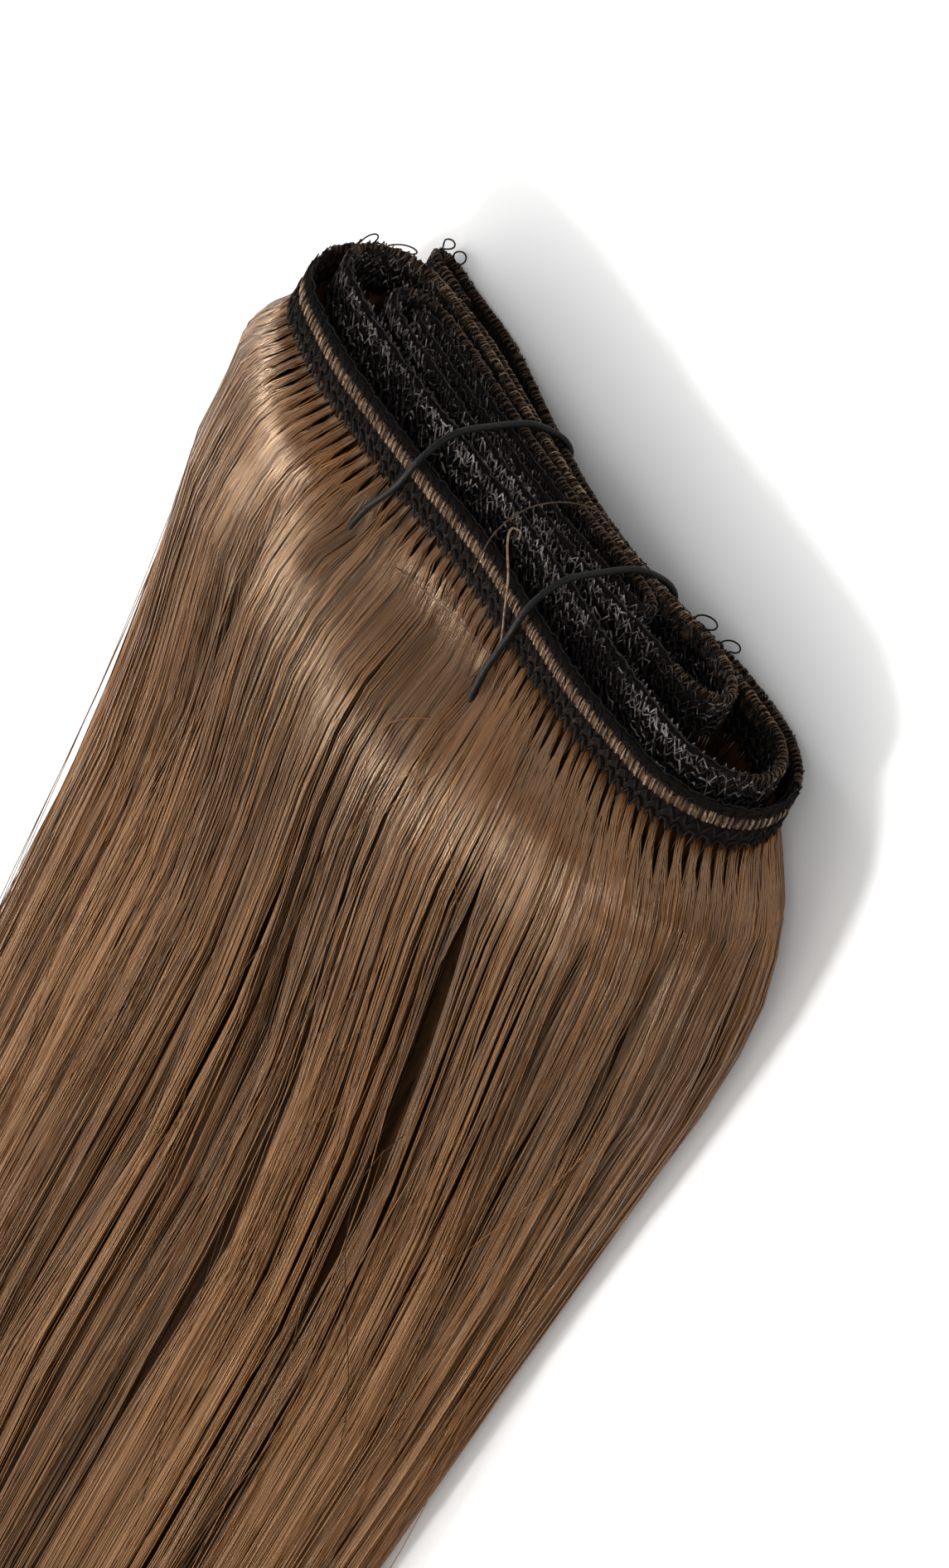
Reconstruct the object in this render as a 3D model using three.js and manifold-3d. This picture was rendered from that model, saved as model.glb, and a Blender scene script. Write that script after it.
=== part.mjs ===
// Machine weft hair extension, in millimetres, lying on a surface with +Z up.
// One long sewn strip is wound into a flat roll. Its hair leaves the strip's lower edge and lies along -Y.
// Two elastic ties hold the roll together. X runs along the roll, and +Y points out of the strip's top edge.
import * as THREE from 'three';
import { mergeVertices } from 'three/addons/utils/BufferGeometryUtils.js';
import Module from 'manifold-3d';

// Driving dimensions
const HAIR_LENGTH = 400;
const CLEARANCE = 0.3;
const MERGE_DISTANCE = 1e-4;
const STRIP_THICKNESS = 1.3;
const STRIP_HEIGHT = 6.2;
const STRIP_CHAMFER = 0.35;
const TIE_DIAMETER = 0.9;
const TIE_LEFT = { x: -11, low: 3.1, high: 28.1 };
const TIE_RIGHT = { x: 14.5, low: 3.1, high: 27.3 };

// The wound strip, one row for each run from the outer free end inwards, so odd rows run left to right.
// Heights are those of the strip's middle line at the stations, and null where the run doesn't reach.
// edge is how far the strip's top edge stands out past that of the outer top run.
// turn is the x of the fold that follows the run.
const RUN_STATIONS = [-46, -38, -30, TIE_LEFT.x, 2, TIE_RIGHT.x, 26, 36];
const RUNS = [
  { edge: 0.5, turn: 49.6, z: [1.3, 1.3, 1.3, 4.9, 6.2, 5.1, 2.4, 1.7] },
  { edge: 0.0, turn: -48.5, z: [null, 26.1, 27.2, 26.6, 25.4, 25.8, 26.2, 25.0] },
  { edge: 1.5, turn: 46.6, z: [null, 6.2, 5.6, 7.6, 8.4, 7.3, 4.9, 4.4] },
  { edge: 3.5, turn: -45.6, z: [null, 22.3, 23.2, 22.4, 21.6, 21.8, 22.2, 21.8] },
  { edge: 3.5, turn: 34.8, z: [null, 9.0, 8.8, 10.2, 10.5, 9.4, 7.0, null] },
  { edge: 4.0, turn: -37.0, z: [null, null, 19.5, 19.6, 19.0, 17.9, 15.8, null] },
  { edge: 4.0, turn: 20.0, z: [null, null, 12.1, 12.8, 12.6, 11.6, null, null] },
  { edge: 4.2, turn: -32.4, z: [null, null, 17.1, 17.3, 16.9, 15.2, null, null] },
  { edge: 4.2, turn: null, z: [null, null, 14.6, 15.1, 14.7, null, null, null] },
];
const TURN_POINTS = 7;
const STEPS_PER_SPAN = 2;

// The lying hair, one row for each section along its length. left and right are its sides, at the height
// side. dent lowers the top and lift raises the underside in the waist between the ties.
const FALL = [
  { y: -6.5, left: -47.6, right: 48.6, top: 27.2, side: 12.8, bottom: 1.0, dent: 1.6, lift: 4.6 },
  { y: -9.5, left: -50, right: 51.5, top: 29.2, side: 12.6, bottom: 0.4, dent: 2.4, lift: 4.0 },
  { y: -15, left: -53.5, right: 56, top: 32, side: 12, bottom: 0, dent: 3.6, lift: 2.6 },
  { y: -24, left: -56.5, right: 59, top: 33.6, side: 11, bottom: 0, dent: 4.2, lift: 1.0 },
  { y: -36, left: -57.5, right: 60, top: 33, side: 9.5, bottom: 0, dent: 3.2, lift: 0 },
  { y: -52, left: -57, right: 59.5, top: 29.5, side: 8, bottom: 0, dent: 1.6, lift: 0 },
  { y: -72, left: -56, right: 58, top: 25, side: 6.5, bottom: 0, dent: 0.6, lift: 0 },
  { y: -98, left: -56, right: 56.5, top: 20.5, side: 5.2, bottom: 0, dent: 0, lift: 0 },
  { y: -130, left: -56.5, right: 55, top: 17, side: 4.4, bottom: 0, dent: 0, lift: 0 },
  { y: -170, left: -56, right: 53.5, top: 14.5, side: 3.9, bottom: 0, dent: 0, lift: 0 },
  { y: -215, left: -55, right: 52, top: 12.5, side: 3.4, bottom: 0, dent: 0, lift: 0 },
  { y: -265, left: -53, right: 51, top: 10.5, side: 3, bottom: 0, dent: 0, lift: 0 },
  { y: -315, left: -51, right: 49, top: 8.5, side: 2.6, bottom: 0, dent: 0, lift: 0 },
  { y: -355, left: -49.5, right: 47.5, top: 6.6, side: 2.2, bottom: 0, dent: 0, lift: 0 },
  { y: -406, left: -48, right: 46, top: 4, side: 1.6, bottom: 0, dent: 0, lift: 0 },
];
const CORE_END = -362;
const CORE_DROP = 1.7;
const CORE_POINTS = 16;
const TOP_ROUNDNESS = 2.3;
const UNDERSIDE_ROUNDNESS = 5;
const WAIST_X = 2;
const WAIST_WIDTH = 17;

// The locks that make the hair's outer form
const LOCKS = 17;
const LOCK_SPREAD = 0.94;
const LOCK_WIDTH = 8.4;
const LOCK_HEIGHT = 5.2;
const LOCK_SIDES = 8;
const LOCK_ROOT = -8.5;
const LOCK_STATIONS = 15;
const LOCK_STATION_CROWDING = 1.5;
const LOCK_TIP_SHARE = 0.16;
const LOCK_TIP_FULLNESS = 0.12;
const LOCK_SHORTEST = 0.94;
const LOCK_WAVE = { amount: 0.035, turns: 3.2 };
const LOCK_FULLNESS = { mean: 0.9, spread: 0.22 };
const LOCK_DEPTH_SHARE = 0.42;
const LOCK_LOWEST_SHARE = 0.8;
// Steps between neighbouring locks, in radians, that keep their lengths, waves and widths apart
const LOCK_STEPS = { length: 2.3, wave: 1.7, fullness: 4.1 };

// The hair of the inner runs, which stands up inside the roll, and the hollows between the runs
const HEAD = { left: -31, right: 18, z: 14.6, height: 9.6, top: -3.1, foot: -8.5 };
const HOLLOWS = [
  { x: -40.2, z: 15.6, width: 6.6, height: 9.6, depth: 26 },
  { x: 27, z: 11.3, width: 11, height: 5, depth: 26 },
  { x: 40.2, z: 13, width: 6.6, height: 13, depth: 32 },
];
const HOLLOW_SIDES = 12;
const HOLLOW_END_SHARE = 0.15;
const HOLLOW_MOUTH = 1;
const HEAD_SIDES = 24;

// A tie's loop across the roll: over the strip's edges, down the front, under and back through the hair.
// rise is the share of the way from the tie's lowest height to its height on the outer run.
const TIE_ROUTE = [
  { y: -15.5, rise: 1.08 }, { y: -10, rise: 1.05 }, { y: -5, rise: 1.01 }, { y: 0.6, rise: 0.99 },
  { y: 3, rise: 0.93 }, { y: 4.7, rise: 0.84 }, { y: 5.3, rise: 0.64 }, { y: 5.4, rise: 0.41 },
  { y: 4.6, rise: 0.23 }, { y: 2.8, rise: 0.09 }, { y: 0.4, rise: 0.01 }, { y: -6, rise: 0 },
  { y: -14, rise: 0.12 }, { y: -18, rise: 0.5 }, { y: -18.5, rise: 0.92 },
];
const TIE_STEPS = 44;
const TIE_SIDES = 8;

const HAIR_MATERIAL = new THREE.MeshStandardMaterial({ color: 0x6f4d31, roughness: 0.5, metalness: 0 });
const STRIP_MATERIAL = new THREE.MeshStandardMaterial({ color: 0x231b17, roughness: 0.85, metalness: 0 });
const TIE_MATERIAL = new THREE.MeshStandardMaterial({ color: 0x17171a, roughness: 0.6, metalness: 0 });

const wasm = await Module();
wasm.setup();

// Makes a closed skin over rings of equally many points. An open row of rings gets a cap at each end.
function loft(rings, closesOnItself = false) {
  const sides = rings[0].length;
  const points = rings.flat();
  const triangles = [];
  const spans = closesOnItself ? rings.length : rings.length - 1;
  for (let ring = 0; ring < spans; ring++) {
    const next = (ring + 1) % rings.length;
    for (let side = 0; side < sides; side++) {
      const across = (side + 1) % sides;
      const [a, b] = [ring * sides + side, ring * sides + across];
      const [c, d] = [next * sides + side, next * sides + across];
      triangles.push(a, d, b, a, c, d);
    }
  }
  if (!closesOnItself) {
    for (const [ring, first] of [[0, true], [rings.length - 1, false]]) {
      const middle = points.length;
      const centre = new THREE.Vector3();
      rings[ring].forEach((point) => centre.add(point));
      points.push(centre.divideScalar(sides));
      for (let side = 0; side < sides; side++) {
        const [a, b] = [ring * sides + side, ring * sides + (side + 1) % sides];
        triangles.push(middle, first ? a : b, first ? b : a);
      }
    }
  }
  const geometry = new THREE.BufferGeometry();
  geometry.setAttribute('position', new THREE.Float32BufferAttribute(points.flatMap((p) => p.toArray()), 3));
  geometry.setIndex(triangles);
  return geometry;
}

// Turns a closed geometry into a solid for joining and cutting, with its faces pointing out.
function toSolid(geometry) {
  const plain = geometry.clone();
  plain.deleteAttribute('normal');
  plain.deleteAttribute('uv');
  const merged = mergeVertices(plain, MERGE_DISTANCE);
  const mesh = { numProp: 3 };
  mesh.vertProperties = new Float32Array(merged.attributes.position.array);
  mesh.triVerts = new Uint32Array(merged.index.array);
  return new wasm.Manifold(new wasm.Mesh(mesh));
}

function toGeometry(solid) {
  const mesh = solid.getMesh();
  const geometry = new THREE.BufferGeometry();
  geometry.setAttribute('position', new THREE.Float32BufferAttribute(mesh.vertProperties, 3));
  geometry.setIndex(Array.from(mesh.triVerts));
  return geometry;
}

// Reads one column of the hair's table at any y, on a smooth curve through its rows.
function fallValue(column, y) {
  const last = FALL.length - 1;
  let row = 0;
  while (row < last - 1 && y < FALL[row + 1].y) row++;
  const [before, from] = [FALL[Math.max(row - 1, 0)], FALL[row]];
  const [to, after] = [FALL[row + 1], FALL[Math.min(row + 2, last)]];
  const span = to.y - from.y;
  const t = THREE.MathUtils.clamp((y - from.y) / span, 0, 1);
  const slopeFrom = (to[column] - before[column]) / (to.y - before.y) * span;
  const slopeTo = (after[column] - from[column]) / (after.y - from.y) * span;
  const rise = to[column] - from[column];
  return from[column] + t * slopeFrom
    + t * t * (3 * rise - 2 * slopeFrom - slopeTo)
    + t * t * t * (slopeFrom + slopeTo - 2 * rise);
}

// A point on the lying hair's top or underside, with across from -1 at its left side to 1 at its right.
function fallPoint(across, y, underside = false) {
  const [left, right] = [fallValue('left', y), fallValue('right', y)];
  const x = (left + right) / 2 + across * (right - left) / 2;
  const waist = Math.exp(-(((x - WAIST_X) / WAIST_WIDTH) ** 2));
  const side = fallValue('side', y);
  const roundness = underside ? UNDERSIDE_ROUNDNESS : TOP_ROUNDNESS;
  const share = Math.max(0, 1 - Math.abs(across) ** roundness) ** (1 / roundness);
  const reach = underside
    ? fallValue('bottom', y) + fallValue('lift', y) * waist
    : fallValue('top', y) - fallValue('dent', y) * waist;
  return new THREE.Vector3(x, y, side + (reach - side) * share);
}

// The body of hair under the locks, closed at both ends.
function hairCore() {
  const first = FALL[0].y;
  const stations = FALL.map((row) => row.y).filter((y) => y > CORE_END).concat(CORE_END);
  const rings = stations.map((y) => {
    const drop = y === first ? 0 : CORE_DROP;
    const top = [];
    const underside = [];
    for (let index = 0; index <= CORE_POINTS; index++) {
      const across = Math.sin((index / CORE_POINTS - 0.5) * Math.PI);
      const share = Math.sqrt(Math.max(0, 1 - across ** 2));
      const point = fallPoint(across, y);
      point.z -= drop * share;
      top.push(point);
      if (index > 0 && index < CORE_POINTS) underside.push(fallPoint(across, y, true));
    }
    return top.concat(underside.reverse());
  });
  return toSolid(loft(rings));
}

// One tapering lock, which lies half sunk in the hair's top, waves gently and ends in a tip of its own.
function hairLock(index) {
  const place = (index / (LOCKS - 1)) * 2 - 1;
  const shortening = (1 - LOCK_SHORTEST) * (1 + Math.sin(index * LOCK_STEPS.length)) / 2;
  const end = -STRIP_HEIGHT - HAIR_LENGTH * (1 - shortening);
  const ownFullness = LOCK_FULLNESS.mean + LOCK_FULLNESS.spread * Math.sin(index * LOCK_STEPS.fullness);
  const rings = [];
  for (let station = 0; station <= LOCK_STATIONS; station++) {
    const along = (station / LOCK_STATIONS) ** LOCK_STATION_CROWDING;
    const y = LOCK_ROOT + along * (end - LOCK_ROOT);
    const sway = Math.sin(LOCK_WAVE.turns * along + index * LOCK_STEPS.wave);
    const across = THREE.MathUtils.clamp(place * LOCK_SPREAD + LOCK_WAVE.amount * along * sway, -1, 1);
    const tip = THREE.MathUtils.smoothstep(1 - along, 0, LOCK_TIP_SHARE);
    const fullness = ownFullness * THREE.MathUtils.lerp(LOCK_TIP_FULLNESS, 1, tip);
    const height = Math.min(LOCK_HEIGHT / 2, fallValue('top', y) * LOCK_DEPTH_SHARE) * fullness;
    const centre = fallPoint(across, y);
    centre.z = Math.max(centre.z - height, height * LOCK_LOWEST_SHARE);
    rings.push(ellipse(centre, LOCK_WIDTH / 2 * fullness, height, LOCK_SIDES));
  }
  return toSolid(loft(rings));
}

// A ring of points in a plane across the hair's run.
function ellipse(centre, halfWidth, halfHeight, sides) {
  const ring = [];
  for (let side = 0; side < sides; side++) {
    const angle = (side + 0.5) / sides * Math.PI * 2;
    const [x, z] = [halfWidth * Math.cos(angle), -halfHeight * Math.sin(angle)];
    ring.push(new THREE.Vector3(centre.x + x, centre.y, centre.z + z));
  }
  return ring;
}

// The inner runs' hair that stands up inside the roll.
function hairHead() {
  const middle = (HEAD.left + HEAD.right) / 2;
  const ends = [HEAD.top, HEAD.foot].map((y) => {
    const centre = new THREE.Vector3(middle, y, HEAD.z);
    return ellipse(centre, (HEAD.right - HEAD.left) / 2, HEAD.height / 2, HEAD_SIDES);
  });
  return toSolid(loft(ends));
}

// A hollow between the runs, narrowing to a slit behind the roll.
function hairHollow({ x, z, width, height, depth }) {
  const ends = [
    { share: 1, y: FALL[0].y + HOLLOW_MOUTH },
    { share: HOLLOW_END_SHARE, y: FALL[0].y - depth },
  ];
  const rings = ends.map(({ share, y }) => {
    return ellipse(new THREE.Vector3(x, y, z), width / 2 * share, height / 2 * share, HOLLOW_SIDES);
  });
  return toSolid(loft(rings));
}

// A closed tube round a tie's route.
function tieLoop({ x, low, high }, radius) {
  const route = TIE_ROUTE.map(({ y, rise }) => new THREE.Vector3(x, y, low + rise * (high - low)));
  const curve = new THREE.CatmullRomCurve3(route, true);
  const across = new THREE.Vector3(1, 0, 0);
  const rings = [];
  for (let step = 0; step < TIE_STEPS; step++) {
    const centre = curve.getPointAt(step / TIE_STEPS);
    const out = across.clone().cross(curve.getTangentAt(step / TIE_STEPS)).normalize();
    const ring = [];
    for (let side = 0; side < TIE_SIDES; side++) {
      const angle = side / TIE_SIDES * Math.PI * 2;
      const offset = across.clone().multiplyScalar(Math.cos(angle)).addScaledVector(out, Math.sin(angle));
      ring.push(centre.clone().addScaledVector(offset, radius));
    }
    rings.push(ring);
  }
  return loft(rings, true);
}

// The hair: core, locks and inner head fused, flat where it lies, with room for the hollows and the ties.
function hairFall() {
  let hair = hairCore().add(hairHead());
  for (let index = 0; index < LOCKS; index++) hair = hair.add(hairLock(index));
  for (const hollow of HOLLOWS) hair = hair.subtract(hairHollow(hollow));
  for (const tie of [TIE_LEFT, TIE_RIGHT]) {
    hair = hair.subtract(toSolid(tieLoop(tie, TIE_DIAMETER / 2 + CLEARANCE)));
  }
  const reach = 3 * HAIR_LENGTH;
  const below = new THREE.BoxGeometry(reach, reach, reach).translate(0, 0, -reach / 2);
  return toGeometry(hair.subtract(toSolid(below)));
}

// The points of one run in the order in which the strip passes them.
function runPoints(run, index) {
  const points = [];
  run.z.forEach((z, station) => {
    if (z !== null) points.push(new THREE.Vector3(RUN_STATIONS[station], run.edge, z));
  });
  return index % 2 === 0 ? points : points.reverse();
}

// The round fold that joins the end of one run to the start of the next.
function foldPoints(start, end, turn) {
  const points = [];
  for (let index = 1; index <= TURN_POINTS; index++) {
    const share = index / (TURN_POINTS + 1);
    const angle = share * Math.PI;
    const base = start.clone().lerp(end, share);
    const x = base.x + (turn - base.x) * Math.sin(angle);
    const z = (start.z + end.z) / 2 + (start.z - end.z) / 2 * Math.cos(angle);
    points.push(new THREE.Vector3(x, base.y, z));
  }
  return points;
}

// The middle line of the whole strip along its top edge, run by run and fold by fold.
function stripCurve() {
  const route = [];
  RUNS.forEach((run, index) => {
    const points = runPoints(run, index);
    route.push(...points);
    if (index < RUNS.length - 1) {
      const next = runPoints(RUNS[index + 1], index + 1);
      route.push(...foldPoints(points[points.length - 1], next[0], run.turn));
    }
  });
  return new THREE.CatmullRomCurve3(route);
}

// The sewn strip, a band of constant height and thickness with a softened top edge.
function weftTrack() {
  const curve = stripCurve();
  const steps = (curve.points.length - 1) * STEPS_PER_SPAN;
  const half = STRIP_THICKNESS / 2;
  const section = [
    [-half, -STRIP_HEIGHT], [half, -STRIP_HEIGHT], [half, -STRIP_CHAMFER],
    [half - STRIP_CHAMFER, 0], [STRIP_CHAMFER - half, 0], [-half, -STRIP_CHAMFER],
  ];
  const rings = [];
  for (let step = 0; step <= steps; step++) {
    const point = curve.getPoint(step / steps);
    const tangent = curve.getTangent(step / steps);
    const normal = new THREE.Vector3(-tangent.z, 0, tangent.x).normalize();
    rings.push(section.map(([out, up]) => {
      const corner = point.clone().addScaledVector(normal, out);
      corner.y += up;
      return corner;
    }));
  }
  return toGeometry(toSolid(loft(rings)));
}

function namedMesh(name, geometry, material) {
  const mesh = new THREE.Mesh(geometry, material);
  mesh.name = name;
  return mesh;
}

const extension = new THREE.Group();
extension.add(namedMesh('weft_track', weftTrack(), STRIP_MATERIAL));
extension.add(namedMesh('hair_fall', hairFall(), HAIR_MATERIAL));
extension.add(namedMesh('tie_left', tieLoop(TIE_LEFT, TIE_DIAMETER / 2), TIE_MATERIAL));
extension.add(namedMesh('tie_right', tieLoop(TIE_RIGHT, TIE_DIAMETER / 2), TIE_MATERIAL));

// The origin is on the surface, under the middle of the whole object.
const box = new THREE.Box3().setFromObject(extension);
const middle = box.getCenter(new THREE.Vector3());
extension.position.set(-middle.x, -middle.y, -box.min.z);

export default extension;
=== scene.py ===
# A machine weft hair extension: the sewn strip wound into a roll, its stitches, its hair and two ties.
# Lengths are millimetres in the part's modelling axes, and to_frame() turns them into the frame's metres.
import math
from types import SimpleNamespace

import bpy
import numpy as np
from mathutils import Matrix, Vector


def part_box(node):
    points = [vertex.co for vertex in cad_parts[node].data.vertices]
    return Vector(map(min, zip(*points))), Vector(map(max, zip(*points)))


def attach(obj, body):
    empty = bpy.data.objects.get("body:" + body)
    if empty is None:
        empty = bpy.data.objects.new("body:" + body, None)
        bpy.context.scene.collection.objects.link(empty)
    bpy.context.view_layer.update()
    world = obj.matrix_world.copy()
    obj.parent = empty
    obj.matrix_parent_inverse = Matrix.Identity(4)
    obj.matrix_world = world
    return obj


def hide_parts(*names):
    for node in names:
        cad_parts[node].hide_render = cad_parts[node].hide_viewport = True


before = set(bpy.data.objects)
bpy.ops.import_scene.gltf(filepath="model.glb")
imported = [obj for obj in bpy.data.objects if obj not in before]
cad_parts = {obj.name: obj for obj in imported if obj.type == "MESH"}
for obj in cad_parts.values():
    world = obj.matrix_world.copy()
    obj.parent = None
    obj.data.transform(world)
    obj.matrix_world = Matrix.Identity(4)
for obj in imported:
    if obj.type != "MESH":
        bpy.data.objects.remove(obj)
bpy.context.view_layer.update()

MM = 0.001
BODY = "root"
UPWARDS = (0, 0, 1)

# The part's driving dimensions
STRIP_HEIGHT = 6.2
HAIR_LENGTH = 400
TIE_DIAMETER = 0.9
TIE_LEFT = {"x": -11, "low": 3.1, "high": 28.1, "lean": -4.6}
TIE_RIGHT = {"x": 14.5, "low": 3.1, "high": 27.3, "lean": -0.6}

# The wound strip: each run's top edge, the x of the fold after it, and its heights at the stations
RUN_STATIONS = [-46, -38, -30, TIE_LEFT["x"], 2, TIE_RIGHT["x"], 26, 36]
RUNS = [
    {"edge": 0.5, "turn": 49.6, "z": [1.3, 1.3, 1.3, 4.9, 6.2, 5.1, 2.4, 1.7]},
    {"edge": 0.0, "turn": -48.5, "z": [None, 26.1, 27.2, 26.6, 25.4, 25.8, 26.2, 25.0]},
    {"edge": 1.5, "turn": 46.6, "z": [None, 6.2, 5.6, 7.6, 8.4, 7.3, 4.9, 4.4]},
    {"edge": 3.5, "turn": -45.6, "z": [None, 22.3, 23.2, 22.4, 21.6, 21.8, 22.2, 21.8]},
    {"edge": 3.5, "turn": 34.8, "z": [None, 9.0, 8.8, 10.2, 10.5, 9.4, 7.0, None]},
    {"edge": 4.0, "turn": -37.0, "z": [None, None, 19.5, 19.6, 19.0, 17.9, 15.8, None]},
    {"edge": 4.0, "turn": 20.0, "z": [None, None, 12.1, 12.8, 12.6, 11.6, None, None]},
    {"edge": 4.2, "turn": -32.4, "z": [None, None, 17.1, 17.3, 16.9, 15.2, None, None]},
    {"edge": 4.2, "turn": None, "z": [None, None, 14.6, 15.1, 14.7, None, None, None]},
]
# The run whose hair shows on top
OUTER_RUN = 1
ON_OUTER_RUN = [float(index == OUTER_RUN) for index in range(len(RUNS))]
TURN_POINTS = 7
CURVE_STEPS = 24
STITCH_PITCH = 1.75
# The free end is turned back on itself above the first run
END_FOLD = [(-36.5, 0.9, 4.0), (-41, 0.9, 3.8), (-45.2, 0.7, 3.4), (-47.0, 0.6, 2.4)]
# How grey the thread is and how brown the top edge is on each run, from the free end inwards. The inner
# runs' grey is partly the thread's own and partly painted sheen and light in their recesses
THREAD_GREY_AND_SHEEN = [0.30, 0.10, 0.40, 1.25, 0.70, 1.3, 0.8, 0.9, 0.7]
EDGE_BROWN = [0.5, 0.0, 0.9, 0.0, 1.1, 0.2, 0.5, 0.2, 0.2]

# The lying hair: its sections from the roll to the tips
FALL_COLUMNS = ["y", "left", "right", "top", "side", "bottom", "dent", "lift"]
FALL_ROWS = np.array([
    [-6.5, -47.6, 48.6, 27.2, 12.8, 1.0, 1.6, 4.6],
    [-9.5, -50, 51.5, 29.2, 12.6, 0.4, 2.4, 4.0],
    [-15, -53.5, 56, 32, 12, 0, 3.6, 2.6],
    [-24, -56.5, 59, 33.6, 11, 0, 4.2, 1.0],
    [-36, -57.5, 60, 33, 9.5, 0, 3.2, 0],
    [-52, -57, 59.5, 29.5, 8, 0, 1.6, 0],
    [-72, -56, 58, 25, 6.5, 0, 0.6, 0],
    [-98, -56, 56.5, 20.5, 5.2, 0, 0, 0],
    [-130, -56.5, 55, 17, 4.4, 0, 0, 0],
    [-170, -56, 53.5, 14.5, 3.9, 0, 0, 0],
    [-215, -55, 52, 12.5, 3.4, 0, 0, 0],
    [-265, -53, 51, 10.5, 3, 0, 0, 0],
    [-315, -51, 49, 8.5, 2.6, 0, 0, 0],
    [-355, -49.5, 47.5, 6.6, 2.2, 0, 0, 0],
    [-406, -48, 46, 4, 1.6, 0, 0, 0],
], float)
FALL = dict(zip(FALL_COLUMNS, FALL_ROWS.T))
TOP_ROUNDNESS = 2.3
UNDERSIDE_ROUNDNESS = 5
WAIST_X = 2
WAIST_WIDTH = 17
# The largest share of the hair's height that anything is pressed down into it
SURFACE_SHARE = 0.42

# A tie's loop across the roll, with rise from its lowest height to its height on the outer run
TIE_ROUTE = [
    (-16.5, 0.98), (-11, 1.02), (-5, 1.01), (0.6, 0.99), (3, 0.93), (4.7, 0.84), (5.3, 0.64), (5.3, 0.41),
    (3.7, 0.23), (1.6, 0.09), (-0.8, 0.01), (-6, 0), (-14, 0.12), (-18, 0.5), (-18.2, 0.86),
]
TIE_SIDES = 12
TIE_STEPS = 8
TIE_TONE = 1.0
# Where a tie has leant over fully behind the roll, and the rises between which its loop follows that lean
TIE_LEAN_END = -17
TIE_LEAN_RISE = (0.4, 0.9)

# The camera of the photograph
CAMERA_TARGET = (11.40, -34.96, 15.0)
CAMERA_AZIMUTH = math.radians(39.63)
CAMERA_ELEVATION = math.radians(39.01)
CAMERA_ROLL = math.radians(-96.86)
CAMERA_DISTANCE = 800
CAMERA_LENS = 148.0
CAMERA_SENSOR = 36
CAMERA_CLIP = 0.01

# Single hairs, as thin closed tubes
STRAND_PIECES = 4
STRANDS_PER_PIECE = 1900
STRAND_SIDES = 3
STRAND_RADIUS = 0.12
LOWEST = STRAND_RADIUS * 1.2
STRAND_STATIONS = np.array([0, 3, 6, 10, 15, 22, 31, 43, 60, 84, 118, 168, 258, 386, 400]) / HAIR_LENGTH
STRAND_SHARE = STRAND_STATIONS[None, :]
# Each strand's cell in the OFBake map for its colour
CELL_SHAPE = 8
CELL_MARGIN = 0.12
# How far round its side the hair's roots reach
FOLD_UNDER = 0.5
REACH = math.pi / 2 + FOLD_UNDER


def find_frame_shift():
    """The part's origin is under the middle of its box, so two of its nodes show how far it was moved."""
    tie_low, tie_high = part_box("tie_left")
    strip_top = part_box("weft_track")[1]
    highest_edge = max(run["edge"] for run in RUNS)
    return np.array([
        (tie_low.x + tie_high.x) / 2 - TIE_LEFT["x"] * MM,
        strip_top.y - highest_edge * MM,
        0.0,
    ])


FRAME_SHIFT = find_frame_shift()


def to_frame(points):
    """Points in metres in the shared frame, from millimetres in the modelling axes."""
    return np.asarray(points, float) * MM + FRAME_SHIFT


def smooth(low, high, value):
    """Goes gently from 0 at low to 1 at high."""
    share = np.clip((value - low) / (high - low), 0, 1)
    return share * share * (3 - 2 * share)


def mix(start, end, share):
    return start + (end - start) * share


def unit(vectors):
    length = np.linalg.norm(vectors, axis=-1, keepdims=True)
    return vectors / np.maximum(length, 1e-12)


# Curves and the wound strip

def catmull_rom(points, closed=False):
    """A dense centripetal curve through the points, with CURVE_STEPS steps for each span."""
    points = np.asarray(points, float)
    if closed:
        padded = np.concatenate([points[-1:], points, points[:2]])
    else:
        padded = np.concatenate([[2 * points[0] - points[1]], points, [2 * points[-1] - points[-2]]])
    share = (np.arange(CURVE_STEPS) / CURVE_STEPS)[:, None]
    pieces = []
    for span in range(len(padded) - 3):
        before, start, end, after = padded[span:span + 4]
        pairs = ((before, start), (start, end), (end, after))
        first, middle, last = [np.linalg.norm(b - a) ** 0.5 for a, b in pairs]
        slope_start = (start - before) / first - (end - before) / (first + middle) + (end - start) / middle
        slope_end = (end - start) / middle - (after - start) / (middle + last) + (after - end) / last
        pieces.append(hermite(start, end, slope_start * middle, slope_end * middle, share))
    if not closed:
        pieces.append(points[-1:])
    return np.concatenate(pieces)


def hermite(start, end, slope_start, slope_end, share):
    rise = end - start
    square = share * share
    return (start + share * slope_start + square * (3 * rise - 2 * slope_start - slope_end)
            + square * share * (slope_start + slope_end - 2 * rise))


def run_points(index):
    run = RUNS[index]
    points = [(x, run["edge"], z) for x, z in zip(RUN_STATIONS, run["z"]) if z is not None]
    return points if index % 2 == 0 else points[::-1]


def fold_points(start, end, turn):
    """The round fold that joins the end of one run to the start of the next."""
    points = []
    for index in range(1, TURN_POINTS + 1):
        share = index / (TURN_POINTS + 1)
        angle = share * math.pi
        base = mix(np.array(start), np.array(end), share)
        x = base[0] + (turn - base[0]) * math.sin(angle)
        z = (start[2] + end[2]) / 2 + (start[2] - end[2]) / 2 * math.cos(angle)
        points.append((x, base[1], z))
    return points


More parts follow.
